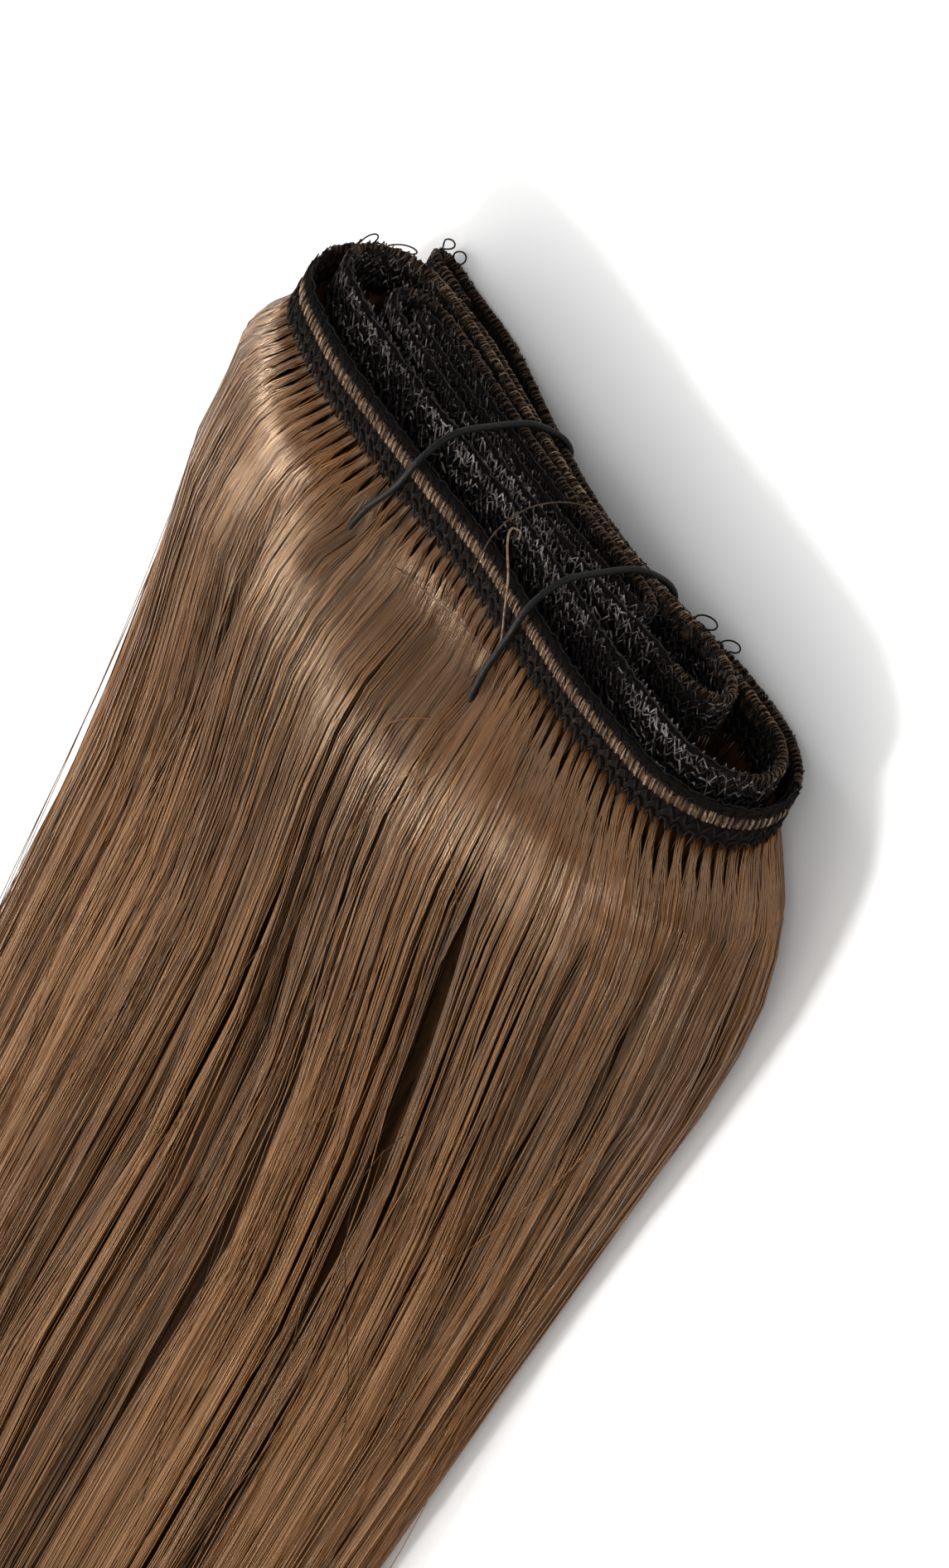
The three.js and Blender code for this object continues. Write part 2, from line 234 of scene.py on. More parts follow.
def wind_strip():
    """The strip's top line, the distance along it, its outward side, and where each run starts and ends."""
    route = list(END_FOLD)
    spans = []
    for index, run in enumerate(RUNS):
        points = run_points(index)
        spans.append((len(route), len(route) + len(points) - 1))
        route += points
        if run["turn"] is not None:
            route += fold_points(points[-1], run_points(index + 1)[0], run["turn"])
    line = catmull_rom(route)
    steps = np.linalg.norm(np.diff(line[:, [0, 2]], axis=0), axis=1)
    along = np.concatenate([[0], np.cumsum(steps)])
    marks = [(along[first * CURVE_STEPS], along[last * CURVE_STEPS]) for first, last in spans]
    tangent = np.gradient(line, axis=0)
    outward = unit(np.stack([tangent[:, 2], np.zeros(len(line)), -tangent[:, 0]], axis=1))
    return line, along, outward, marks


STRIP_LINE, STRIP_ALONG, STRIP_OUTWARD, RUN_MARKS = wind_strip()
STRIP_LENGTH = STRIP_ALONG[-1]
# The stretch of the strip that carries the outer hair: the outer run with the folds before and after it
ROOTS_START = RUN_MARKS[OUTER_RUN - 1][1]
ROOTS_END = RUN_MARKS[OUTER_RUN + 1][0]


def interpolate(along, table):
    return np.stack([np.interp(along, STRIP_ALONG, table[:, axis]) for axis in range(3)], axis=-1)


def on_strip(along, out, up):
    """Points at a distance along the strip, out from its middle line and up from its top edge."""
    points = interpolate(along, STRIP_LINE)
    points = points + unit(interpolate(along, STRIP_OUTWARD)) * np.asarray(out)[..., None]
    points[..., 1] += up
    return points


def by_run(values, along):
    """Reads a list with one value for each run at any place along the strip."""
    return np.interp(along, np.ravel(RUN_MARKS), np.repeat(values, 2))


# The form of the lying hair

def fall_value(column, y):
    """Reads one column of the hair's table at any y, on a smooth curve through its rows."""
    rows = FALL["y"]
    last = len(rows) - 1
    row = np.clip(np.searchsorted(-rows, -np.asarray(y), side="right") - 1, 0, last - 1)
    before, after = np.maximum(row - 1, 0), np.minimum(row + 2, last)
    values = FALL[column]
    span = rows[row + 1] - rows[row]
    share = np.clip((y - rows[row]) / span, 0, 1)
    slope_start = (values[row + 1] - values[before]) / (rows[row + 1] - rows[before]) * span
    slope_end = (values[after] - values[row]) / (rows[after] - rows[row]) * span
    return hermite(values[row], values[row + 1], slope_start, slope_end, share)


def fall_surface(angle, y):
    """A point on the hair's surface. Angle 0 is the middle of its top, and a quarter turn is a side."""
    across = np.sin(angle)
    left, right = fall_value("left", y), fall_value("right", y)
    x = (left + right) / 2 + across * (right - left) / 2
    waist = np.exp(-((x - WAIST_X) / WAIST_WIDTH) ** 2)
    below = np.abs(angle) > math.pi / 2
    roundness = np.where(below, UNDERSIDE_ROUNDNESS, TOP_ROUNDNESS)
    share = np.maximum(0, 1 - np.abs(across) ** roundness) ** (1 / roundness)
    top = fall_value("top", y) - fall_value("dent", y) * waist
    underside = fall_value("bottom", y) + fall_value("lift", y) * waist
    side = fall_value("side", y)
    z = side + (np.where(below, underside, top) - side) * share
    return np.stack([x, np.broadcast_to(y, x.shape), z], axis=-1)


def under_surface(angle, y, depth):
    """A point in the hair, a depth below its surface, kept above what the hair lies on."""
    depth = np.minimum(depth, fall_value("top", y) * SURFACE_SHARE)
    points = fall_surface(angle, y)
    points[..., 0] -= np.sin(angle) * depth
    points[..., 2] -= np.cos(angle) * depth
    points[..., 2] = np.maximum(points[..., 2], LOWEST)
    return points


# Meshes from arrays

def make_object(name, points, face_groups, material, replaces=()):
    """A mesh piece from points in the modelling axes and groups of equally sided faces.

    The first group is shaded smooth, and the others are flat caps."""
    mesh = bpy.data.meshes.new(name)
    corners = np.concatenate([group.ravel() for group in face_groups])
    sizes = np.concatenate([np.full(len(group), group.shape[1]) for group in face_groups])
    starts = np.concatenate([[0], np.cumsum(sizes)[:-1]])
    mesh.vertices.add(len(points))
    mesh.vertices.foreach_set("co", to_frame(points).astype(np.float32).ravel())
    mesh.loops.add(len(corners))
    mesh.loops.foreach_set("vertex_index", corners.astype(np.int32))
    mesh.polygons.add(len(sizes))
    mesh.polygons.foreach_set("loop_start", starts.astype(np.int32))
    mesh.polygons.foreach_set("use_smooth", np.arange(len(sizes)) < len(face_groups[0]))
    mesh.update(calc_edges=True)
    mesh.materials.append(material)
    piece = bpy.data.objects.new(name, mesh)
    bpy.context.scene.collection.objects.link(piece)
    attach(piece, BODY)
    for node in replaces:
        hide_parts(node)
    return piece


def set_tone(piece, values):
    """Stores a tone for each point, or one for the whole piece, for the material to read."""
    attribute = piece.data.attributes.new("tone", "FLOAT", "POINT")
    tones = np.broadcast_to(np.ravel(values), len(piece.data.vertices))
    attribute.data.foreach_set("value", tones.astype(np.float32))


def skin_faces(rings, around, other_way=False):
    """Side faces of a closed skin over rings of points, and its two caps, all facing outwards.

    Rings that run the other way round have their faces turned."""
    grid = np.arange(rings * around).reshape(rings, around)
    follow = np.roll(grid, -1, axis=1)
    if other_way:
        corners = [grid[:-1], follow[:-1], follow[1:], grid[1:]]
        caps = [grid[:1, ::-1], grid[-1:]]
    else:
        corners = [grid[:-1], grid[1:], follow[1:], follow[:-1]]
        caps = [grid[:1], grid[-1:, ::-1]]
    return [np.stack(corners, axis=-1).reshape(-1, 4), *caps]


def tube_points(paths, radii, sides, reference):
    """Rings round each path's stations. The reference direction keeps the rings from twisting."""
    tangent = unit(np.gradient(paths, axis=1))
    across = unit(np.cross(tangent, np.broadcast_to(reference, paths.shape)))
    other = np.cross(across, tangent)
    turn = np.arange(sides) / sides * 2 * math.pi
    offset = (across[:, :, None, :] * np.cos(turn)[:, None]
              + other[:, :, None, :] * np.sin(turn)[:, None])
    rings = paths[:, :, None, :] + offset * np.asarray(radii)[:, :, None, None]
    return rings.reshape(-1, 3)


def tube_faces(count, stations, sides):
    """Side faces of closed tubes, and the two caps of each."""
    first = np.arange(count)[:, None, None] * stations * sides
    ring = np.arange(stations - 1)[None, :, None] * sides
    side = np.arange(sides)[None, None, :]
    follow = (side + 1) % sides
    near, near_follow = first + ring + side, first + ring + follow
    walls = np.stack([near, near + sides, near_follow + sides, near_follow], axis=-1).reshape(-1, 4)
    start = np.arange(count)[:, None] * stations * sides + np.arange(sides)
    end = (np.arange(count)[:, None] * stations + stations - 1) * sides + np.arange(sides)[::-1]
    return [walls, start, end]


def make_tubes(name, paths, radii, tone, sides, reference, material, replaces=()):
    """Many closed tubes as one piece. Paths are count by stations by 3, and radii and tones fit them."""
    shape = paths.shape[:2]
    points = tube_points(paths, np.broadcast_to(radii, shape), sides, reference)
    piece = make_object(name, points, tube_faces(*shape, sides), material, replaces)
    set_tone(piece, np.repeat(np.broadcast_to(tone, shape), sides))
    return piece


def lay_out_strands(piece, count, stations, sides):
    """Gives each strand a cell of its own in the OFBake map for its colour."""
    columns = math.ceil(math.sqrt(count * CELL_SHAPE))
    rows = math.ceil(count / columns)
    index, station, side = np.unravel_index(np.arange(count * stations * sides), (count, stations, sides))
    u = (index % columns + mix(CELL_MARGIN, 1 - CELL_MARGIN, side / (sides - 1))) / columns
    v = (index // columns + mix(CELL_MARGIN, 1 - CELL_MARGIN, station / (stations - 1))) / rows
    corners = np.zeros(len(piece.data.loops), np.int32)
    piece.data.loops.foreach_get("vertex_index", corners)
    places = np.stack([u[corners], v[corners]], axis=1)
    # A cap's middle corner moves up a little, so that the cap has an area in the map
    caps = np.arange(len(corners)) >= count * (stations - 1) * sides * 4
    places[caps & (side[corners] == 1), 1] += CELL_MARGIN / 2 / rows
    layer = piece.data.uv_layers.new(name="OFBake")
    layer.data.foreach_set("uv", places.astype(np.float32).ravel())


# Materials. A grain is a noise with its waves per metre on each axis and its detail

HAIR_TONES = [
    (0.0, (0.012, 0.0036, 0.0004)),
    (0.35, (0.080, 0.0255, 0.0027)),
    (0.65, (0.185, 0.0670, 0.0090)),
    (1.0, (0.29, 0.155, 0.064)),
]
HAIR_SHEEN_TINT = (1.0, 0.75, 0.52, 1.0)
HAIR_IOR = 1.6
HAIR_GRAIN = ((900, 45, 900), 3.0)
HAIR_GRAIN_SHARE = 0.18
# Painted shade: the hair body is coloured darker than the strands, as the shade under them
BODY_PAINTED_SHADE_TONES = [(0.3, (0.014, 0.006, 0.0025)), (0.7, (0.060, 0.027, 0.010))]
BODY_GRAIN = ((700, 14, 700), 4.0)
BODY_BUMP = 0.0006
BAND_TONES = [
    (0.00, (0.004, 0.0035, 0.0035)),
    (0.15, (0.012, 0.008, 0.006)),
    (0.40, (0.105, 0.060, 0.032)),
    (0.70, (0.260, 0.165, 0.100)),
]
BAND_GRAIN = ((2600, 160, 2600), 3.0)
BAND_BUMP = 0.0002
THREAD_TONES = [(0.0, (0.004, 0.0035, 0.0035)), (0.25, (0.023, 0.020, 0.019)), (0.8, (0.36, 0.32, 0.295))]
EDGE_HAIR_TONES = [(0.0, (0.012, 0.007, 0.004)), (0.3, (0.075, 0.043, 0.024)), (0.75, (0.33, 0.225, 0.145))]
ELASTIC_TONES = [(0.0, (0.004, 0.0038, 0.0037)), (0.7, (0.010, 0.0095, 0.0093))]
THREAD_GRAIN = ((1800, 1800, 1800), 2.0)
THREAD_BUMP = 0.0001
FLOOR_TONES = [(0.3, (0.95, 0.95, 0.952)), (0.7, (0.97, 0.97, 0.97))]
FLOOR_GRAIN = ((3, 3, 3), 2.0)


def new_material(name, roughness, specular):
    material = bpy.data.materials.new(name)
    material.use_nodes = True
    shader = material.node_tree.nodes["Principled BSDF"]
    shader.inputs["Roughness"].default_value = roughness
    shader.inputs["Specular IOR Level"].default_value = specular
    return material, material.node_tree, shader


def add_grain(tree, grain):
    """A noise in the object's own coordinates."""
    scale, detail = grain
    place = tree.nodes.new("ShaderNodeTexCoord")
    mapping = tree.nodes.new("ShaderNodeMapping")
    mapping.inputs["Scale"].default_value = scale
    noise = tree.nodes.new("ShaderNodeTexNoise")
    noise.inputs["Scale"].default_value = 1.0
    noise.inputs["Detail"].default_value = detail
    tree.links.new(place.outputs["Object"], mapping.inputs["Vector"])
    tree.links.new(mapping.outputs["Vector"], noise.inputs["Vector"])
    return noise.outputs["Fac"]


def add_tone(tree):
    """The tone that is stored in the mesh."""
    tone = tree.nodes.new("ShaderNodeAttribute")
    tone.attribute_name = "tone"
    return tone.outputs["Fac"]


def add_colour(tree, shader, value, stops):
    """Colours the surface by a value, on a ramp of colours."""
    ramp = tree.nodes.new("ShaderNodeValToRGB")
    elements = ramp.color_ramp.elements
    while len(elements) < len(stops):
        elements.new(1.0)
    for element, (position, color) in zip(elements, stops):
        element.position = position
        element.color = (*color, 1.0)
    tree.links.new(value, ramp.inputs["Fac"])
    tree.links.new(ramp.outputs["Color"], shader.inputs["Base Color"])


def add_bump(tree, shader, height, distance):
    bump = tree.nodes.new("ShaderNodeBump")
    bump.inputs["Distance"].default_value = distance
    tree.links.new(height, bump.inputs["Height"])
    tree.links.new(bump.outputs["Normal"], shader.inputs["Normal"])


def hair_material(name, roughness, specular):
    """Each strand's tone picks its brown, and a fine noise along the strand varies it."""
    material, tree, shader = new_material(name, roughness, specular)
    shader.inputs["IOR"].default_value = HAIR_IOR
    shader.inputs["Specular Tint"].default_value = HAIR_SHEEN_TINT
    vary = tree.nodes.new("ShaderNodeMath")
    vary.operation = "MULTIPLY_ADD"
    vary.inputs[1].default_value = HAIR_GRAIN_SHARE
    tree.links.new(add_grain(tree, HAIR_GRAIN), vary.inputs[0])
    tree.links.new(add_tone(tree), vary.inputs[2])
    add_colour(tree, shader, vary.outputs["Value"], HAIR_TONES)
    return material


def painted_shade_body_material():
    """The hair under the outer strands, coloured dark as painted shade, with dark streaks that run along it.
    """
    material, tree, shader = new_material("hair_body", roughness=0.8, specular=0.05)
    streaks = add_grain(tree, BODY_GRAIN)
    add_colour(tree, shader, streaks, BODY_PAINTED_SHADE_TONES)
    add_bump(tree, shader, streaks, BODY_BUMP)
    return material


def sewn_material(name, stops, roughness, specular, grain=THREAD_GRAIN, bump=THREAD_BUMP):
    """Thread and sewn hair: a stored tone picks the colour, and a fine grain breaks it up."""
    material, tree, shader = new_material(name, roughness, specular)
    noise = add_grain(tree, grain)
    vary = tree.nodes.new("ShaderNodeMath")
    vary.operation = "MULTIPLY"
    tree.links.new(noise, vary.inputs[0])
    tree.links.new(add_tone(tree), vary.inputs[1])
    add_colour(tree, shader, vary.outputs["Value"], stops)
    add_bump(tree, shader, noise, bump)
    return material


def floor_material():
    material, tree, shader = new_material("floor", roughness=0.7, specular=0.2)
    add_colour(tree, shader, add_grain(tree, FLOOR_GRAIN), FLOOR_TONES)
    return material


# Locks, tufts and partings

LOCK_COUNT = 30
LOCK_STEPS = (0.55, 1.45)
LOCK_LENGTHS = (0.955, 1.0)
LOCK_PHASE_STEP = 0.40
LOCK_GAP_POWER = 1.4
TUFTS_PER_LOCK = 5
TUFT_STEPS = (0.35, 1.65)
TUFT_PULLS = (0.25, 0.85)
# The valley that the ties press into the hair behind the roll, and the groove under each tie
VALLEY = {"x": 2.0, "width": 15.0, "depth": 2.6, "rise": (0, 10), "fall": (8, 24)}
GROOVE = {"width": 2.4, "depth": 2.2, "rise": (0, 9), "fall": (8, 15)}
# How the hair fans out from its middle behind the hump
FAN = {"middle": -0.02, "width": 0.25, "turn": 0.10, "edge": (1.1, 1.6), "along": (35, 140)}
# Partings between locks: place across, drift along, where they open and close, half width and depth
PARTINGS = [
    (0.09, 0.14, 56, 215, 0.032, 3.2),
    (0.225, 0.075, 66, 155, 0.028, 2.8),
    (0.545, 0.14, 24, 132, 0.038, 3.8),
    (0.71, 0.08, 48, 100, 0.026, 2.6),
    (0.99, 0.26, 28, 170, 0.036, 3.2),
    (1.40, 0.02, 42, 105, 0.030, 2.4),
    (-0.07, -0.16, 82, 165, 0.028, 2.6),
    (0.71, 0.04, 108, 195, 0.032, 3.0),
    (-0.50, -0.09, 12, 78, 0.032, 3.0),
    (-0.48, 0.03, 8, 50, 0.022, 2.4),
    (1.235, -0.06, 9, 62, 0.028, 2.4),
    (0.935, 0.03, 15, 74, 0.028, 2.6),
    (-1.15, 0.05, 20, 120, 0.026, 2.4),
    (-0.80, -0.06, 60, 200, 0.028, 2.4),
    (-0.30, -0.06, 90, 240, 0.026, 2.4),
    (-0.62, 0.03, 120, 330, 0.032, 2.6),
    (-0.05, -0.03, 190, 380, 0.030, 2.4),
    (0.62, -0.04, 200, 380, 0.032, 2.4),
    (-1.0, 0.03, 210, 390, 0.030, 2.2),
    (0.30, 0.02, 240, 390, 0.030, 2.2),
    (0.42, 0.06, 60, 140, 0.022, 2.0),
]
# How bluntly a parting ends, and its sharpness and slope as shares of its half width
PARTING_SHAPE = {"ends": 0.6, "sharpness": 0.3, "slope": 1.6}


def lock_plan(rng):
    """The locks' places across the hair, their tones and lengths, and the tufts inside each."""
    tufts = (LOCK_COUNT, TUFTS_PER_LOCK)
    steps = rng.uniform(*LOCK_STEPS, LOCK_COUNT)
    edges = -REACH + 2 * REACH * np.concatenate([[0], np.cumsum(steps)]) / steps.sum()
    return {
        "edges": edges,
        "centre": (edges[1:] + edges[:-1]) / 2,
        "half": np.diff(edges) / 2,
        "tone": rng.normal(0, 1, LOCK_COUNT),
        "length": rng.uniform(*LOCK_LENGTHS, LOCK_COUNT),
        "phase": np.cumsum(rng.normal(0, LOCK_PHASE_STEP, (2, LOCK_COUNT)), axis=1),
        "gap": rng.uniform(0, 1, LOCK_COUNT) ** LOCK_GAP_POWER,
        "tuft_edges": tuft_edges(rng),
        "tuft_tone": rng.normal(0, 1, tufts),
        "tuft_pull": rng.uniform(*TUFT_PULLS, tufts),
        "tuft_sink": rng.uniform(0, 1, tufts),
    }


def tuft_edges(rng):
    """Where each lock's tufts begin and end, from -1 to 1 across the lock."""
    steps = rng.uniform(*TUFT_STEPS, (LOCK_COUNT, TUFTS_PER_LOCK))
    ends = np.cumsum(steps, axis=1) / steps.sum(axis=1, keepdims=True)
    return np.concatenate([np.full((LOCK_COUNT, 1), -1.0), 2 * ends - 1], axis=1)


def tie_place(tie, y):
    """A tie's x, which leans to one side behind the roll."""
    return tie["x"] + tie["lean"] * smooth(0, TIE_LEAN_END, y)


def pressed_in(form, away, gone):
    """The depth of a valley or groove, at a distance from its middle and a distance from the strip."""
    near = np.exp(-(away / form["width"]) ** 2)
    return form["depth"] * near * smooth(*form["rise"], gone) * (1 - smooth(*form["fall"], gone))


def valley_depth(x, gone):
    """How far the ties press the hair in, at a place across it and a distance from the strip."""
    depth = pressed_in(VALLEY, x - VALLEY["x"], gone)
    for tie in (TIE_LEFT, TIE_RIGHT):
        depth = depth + pressed_in(GROOVE, x - tie_place(tie, -STRIP_HEIGHT - gone), gone)
    return depth


def fan_turn(angle, gone):
    """How far the hair has fanned out from its middle."""
    side = np.tanh((angle - FAN["middle"]) / FAN["width"])
    fade = 1 - smooth(*FAN["edge"], np.abs(angle))
    return FAN["turn"] * side * fade * smooth(*FAN["along"], gone)


def part_hair(angle, gone):
    """Moves strands apart at the partings, and says how much deeper they lie there."""
    sink = np.zeros(np.broadcast(angle, gone).shape)
    moved = angle + sink
    for place, drift, start, end, width, depth in PARTINGS:
        share = np.clip((gone - start) / (end - start), 0, 1)
        window = np.sin(math.pi * share) ** PARTING_SHAPE["ends"]
        away = angle - (place + drift * share)
        near = np.exp(-(away / width) ** 2)
        moved += np.tanh(away / (PARTING_SHAPE["sharpness"] * width)) * width * near * window
        slope = np.exp(-(away / (PARTING_SHAPE["slope"] * width)) ** 2)
        sink = np.maximum(sink, depth * slope * window)
    return moved, sink


# The outer strands. Pairs called along are distances from the strip between which something sets in

STRAND_SEED = 11
COMBED_SPREAD = 0.13
ROOT_SPREAD = 0.55
ROOT_OUT = 0.30
ROOT_UP = 0.7
ROOT_DEPTH = 0.45
ROOT_BLEND = (3, 20)
COMB_START = 1
COMB_END = (4, 11)
SHORTENING = 0.030
SHORTEST = 0.8
INSIDE_LOCK = 0.999
# Near the tips, as shares of the length, the strands come loose from their tufts and locks
LOOSE_TIPS = (0.6, 0.95)
TUFT_PULL = {"along": (6, 56), "freed": 0.6}
LOCK_PULL = {"least": 0.05, "by_gap": 0.28, "along": (25, 110), "freed": 0.7}
TIP_PULL = {"amount": 0.18, "share": (0.90, 1.0)}
# The locks' slow waves: amount and length
SWAYS = [(0.030, 62), (0.012, 27)]
SWAY_ALONG = (20, 140)
WANDER = {"amount": 0.006, "along": (10, 160), "loosened": 2.5}
STRAY_HAIR = {"share": 0.02, "amount": 0.09, "along": (8, 160), "depth": 0.3}
LAYER = {"depth": 0.9, "along": (4, 40)}
LOCK_RELIEF = {"least": 0.9, "by_gap": 1.4, "along": (20, 90)}
TUFT_RELIEF = {"amount": 0.7, "along": (5, 34)}
UNEVEN = {"amount": 0.08, "along": (8, 24)}
# Each strand's own fine waves: axis and length
WAVES = [(0, 17), (2, 23)]
WAVE_HEIGHT = 0.14
WAVE_ALONG = (8, 60)
STRAND_THICKNESS = (0.75, 1.25)
TIP_THICKNESS = 0.25
TIP_TAPER = 0.03
# Tones: the mean, and how much they vary from lock to lock, tuft to tuft and strand to strand
TONES = {"mean": 0.36, "lock": 0.045, "tuft": 0.050, "strand": 0.055}
# Painted shade: how much darker partings, the edges of locks and tufts, and the valley are
PAINTED_SHADES = {"parting": 0.055, "parting_depth": 3.0, "lock": 0.05, "tuft": 0.06, "valley": 0.035}
TUFT_SHADE_ALONG = (4, 30)
# How much darker the hair is behind the roll, and how much lighter along its length
ROOT_TONE = -0.08
LENGTH_TONE = 0.16
LENGTH_TONE_ALONG = (25, 110)


def outer_roots(count, rng):
    """Roots along the outer run and its two folds: combed into bundles at first, then spread."""
    stitch = np.floor(rng.uniform(ROOTS_START, ROOTS_END, count) / STITCH_PITCH) + 0.5
    combed = (stitch + rng.normal(0, COMBED_SPREAD, count)) * STITCH_PITCH
    spread = (stitch + rng.uniform(-ROOT_SPREAD, ROOT_SPREAD, count)) * STITCH_PITCH
    return combed, np.clip(spread, ROOTS_START, ROOTS_END)


def root_angle(along):
    """The place across the hair that belongs to a place on the outer run or its folds."""
    x = interpolate(along, STRIP_LINE)[:, 0]
    middle = (FALL["left"][0] + FALL["right"][0]) / 2
    half = (FALL["right"][0] - FALL["left"][0]) / 2
    on_run = np.arcsin(np.clip((x - middle) / half, -1, 1))
    run_start, run_end = RUN_MARKS[OUTER_RUN]
    first = np.arcsin((RUN_STATIONS[-1] - middle) / half)
    last = np.arcsin((RUN_STATIONS[1] - middle) / half)
    right = mix(REACH, first, (along - ROOTS_START) / (run_start - ROOTS_START))
    left = mix(last, -REACH, (along - run_end) / (ROOTS_END - run_end))
    return np.where(along < run_start, right, np.where(along > run_end, left, on_run))


def choose_strands(count, rng, plan):
    """Where strands are rooted, their locks and tufts, and how far from the strip their stations lie."""
    combed, spread = outer_roots(count, rng)
    angle = root_angle(spread)
    lock = np.clip(np.searchsorted(plan["edges"], angle) - 1, 0, LOCK_COUNT - 1)
    place = np.clip((angle - plan["centre"][lock]) / plan["half"][lock], -INSIDE_LOCK, INSIDE_LOCK)
    edges = plan["tuft_edges"][lock]
    tuft = np.sum(place[:, None] > edges[:, 1:-1], axis=1)
    strand = np.arange(count)
    tuft_start = edges[strand, tuft]
    tuft_end = edges[strand, tuft + 1]
    shortening = 1 - np.abs(rng.normal(0, SHORTENING, count))
    length = HAIR_LENGTH * plan["length"][lock] * np.clip(shortening, SHORTEST, 1)
    out = rng.uniform(-ROOT_OUT, ROOT_OUT, count)
    up = -STRIP_HEIGHT + rng.uniform(0.0, ROOT_UP, count)
    root = on_strip(spread, out, up)
    return SimpleNamespace(
        count=count,
        angle=angle,
        lock=lock,
        tuft=tuft,
        place=place,
        tuft_place=(tuft_start + tuft_end) / 2,
        tuft_half=(tuft_end - tuft_start) / 2,
        gap=plan["gap"][lock][:, None],
        root=root,
        comb=on_strip(combed, out, up) - root,
        gone=length[:, None] * STRAND_SHARE,
    )


def draw_strands_together(strands, plan):
    """Each station's place in its lock, once its tuft and its lock have drawn together."""
    loose = smooth(*LOOSE_TIPS, STRAND_SHARE)
    tuft_pull = plan["tuft_pull"][strands.lock, strands.tuft][:, None]
    tuft_pull = tuft_pull * smooth(*TUFT_PULL["along"], strands.gone) * (1 - TUFT_PULL["freed"] * loose)
    lock_pull = LOCK_PULL["least"] + LOCK_PULL["by_gap"] * strands.gap
    lock_pull = lock_pull * smooth(*LOCK_PULL["along"], strands.gone) * (1 - LOCK_PULL["freed"] * loose)
    lock_pull = lock_pull + TIP_PULL["amount"] * smooth(*TIP_PULL["share"], STRAND_SHARE)
    return mix(strands.place[:, None], strands.tuft_place[:, None], tuft_pull) * (1 - lock_pull), loose


def draw_lines(strands, rng, plan):
    """Works out the strands' places across the hair, and how deep the partings sink them."""
    gone, lock, count = strands.gone, strands.lock, strands.count
    strands.here, loose = draw_strands_together(strands, plan)
    sway = sum(amount * np.sin(gone / length + plan["phase"][row, lock][:, None])
               for row, (amount, length) in enumerate(SWAYS)) * smooth(*SWAY_ALONG, gone)
    wander = rng.normal(0, WANDER["amount"], count)[:, None] * smooth(*WANDER["along"], gone)
    wander = wander * (1 + WANDER["loosened"] * loose)
    is_stray = rng.uniform(0, 1, count) < STRAY_HAIR["share"]
    strands.stray = np.where(is_stray, rng.normal(0, STRAY_HAIR["amount"], count), 0)[:, None]
    line = plan["centre"][lock][:, None] + strands.here * plan["half"][lock][:, None]
    line = line + sway + wander
    line, strands.sink = part_hair(line + fan_turn(line, gone), gone)
    strands.line = line + strands.stray * smooth(*STRAY_HAIR["along"], gone)


def strand_depth(strands, rng, plan):
    """How far below the hair's surface each station lies, apart from the valley."""
    gone = strands.gone
    layer = np.abs(rng.normal(0, LAYER["depth"], strands.count))[:, None]
    lock_relief = LOCK_RELIEF["least"] + LOCK_RELIEF["by_gap"] * strands.gap
    lock_relief = lock_relief * strands.here ** 2 * smooth(*LOCK_RELIEF["along"], gone)
    tuft_relief = TUFT_RELIEF["amount"] * plan["tuft_sink"][strands.lock, strands.tuft][:, None]
    tuft_relief = tuft_relief * smooth(*TUFT_RELIEF["along"], gone)
    relief = lock_relief + tuft_relief + strands.sink
    depth = mix(ROOT_DEPTH, layer, smooth(*LAYER["along"], gone)) + relief
    depth = depth * np.where(strands.stray != 0, STRAY_HAIR["depth"], 1.0)
    return depth + rng.normal(0, UNEVEN["amount"], depth.shape) * smooth(*UNEVEN["along"], gone)


def strand_paths(strands, depth, rng):
    """Paths of strands from their roots on the outer run over the hump and down to the tips."""
    gone, root = strands.gone, strands.root
    y = root[:, 1:2] - gone
    strands.valley = valley_depth(fall_surface(strands.line, y)[..., 0], gone)
    paths = under_surface(strands.line, y, depth + strands.valley)
    offset = root - under_surface(strands.angle, root[:, 1], ROOT_DEPTH)
    paths = paths + offset[:, None, :] * (1 - smooth(*ROOT_BLEND, gone))[..., None]
    comb_end = rng.uniform(*COMB_END, strands.count)[:, None]
    still_combed = 1 - smooth(0, 1, (gone - COMB_START) / comb_end)
    paths = paths + strands.comb[:, None, :] * still_combed[..., None]
    shifts = rng.uniform(0, 2 * math.pi, (len(WAVES), strands.count, 1))
    for (axis, length), shift in zip(WAVES, shifts):
        paths[..., axis] += WAVE_HEIGHT * np.sin(gone / length + shift) * smooth(*WAVE_ALONG, gone)
    paths[..., 2] = np.maximum(paths[..., 2], LOWEST)
    return paths


def strand_tones(strands, rng, plan):
    """How light each station is: its lock's, tuft's and own tone, with painted shade where it lies in shade.
    """
    gone, lock, tuft = strands.gone, strands.lock, strands.tuft
    own = (TONES["mean"] + TONES["lock"] * plan["tone"][lock] + TONES["tuft"] * plan["tuft_tone"][lock, tuft]
           + rng.normal(0, TONES["strand"], strands.count))
    tuft_edge = (np.abs(strands.place - strands.tuft_place) / strands.tuft_half)[:, None]
    # Painted shade in the partings, at the edges of locks and tufts, and in the valley
    shade = (PAINTED_SHADES["parting"] * np.minimum(strands.sink, PAINTED_SHADES["parting_depth"])
             + PAINTED_SHADES["lock"] * strands.gap * strands.here ** 2 * smooth(*LOCK_RELIEF["along"], gone)
             + PAINTED_SHADES["tuft"] * tuft_edge ** 3 * smooth(*TUFT_SHADE_ALONG, gone)
             + PAINTED_SHADES["valley"] * strands.valley)
    lighter = mix(ROOT_TONE, LENGTH_TONE, smooth(*LENGTH_TONE_ALONG, gone))
    return own[:, None] + lighter - shade


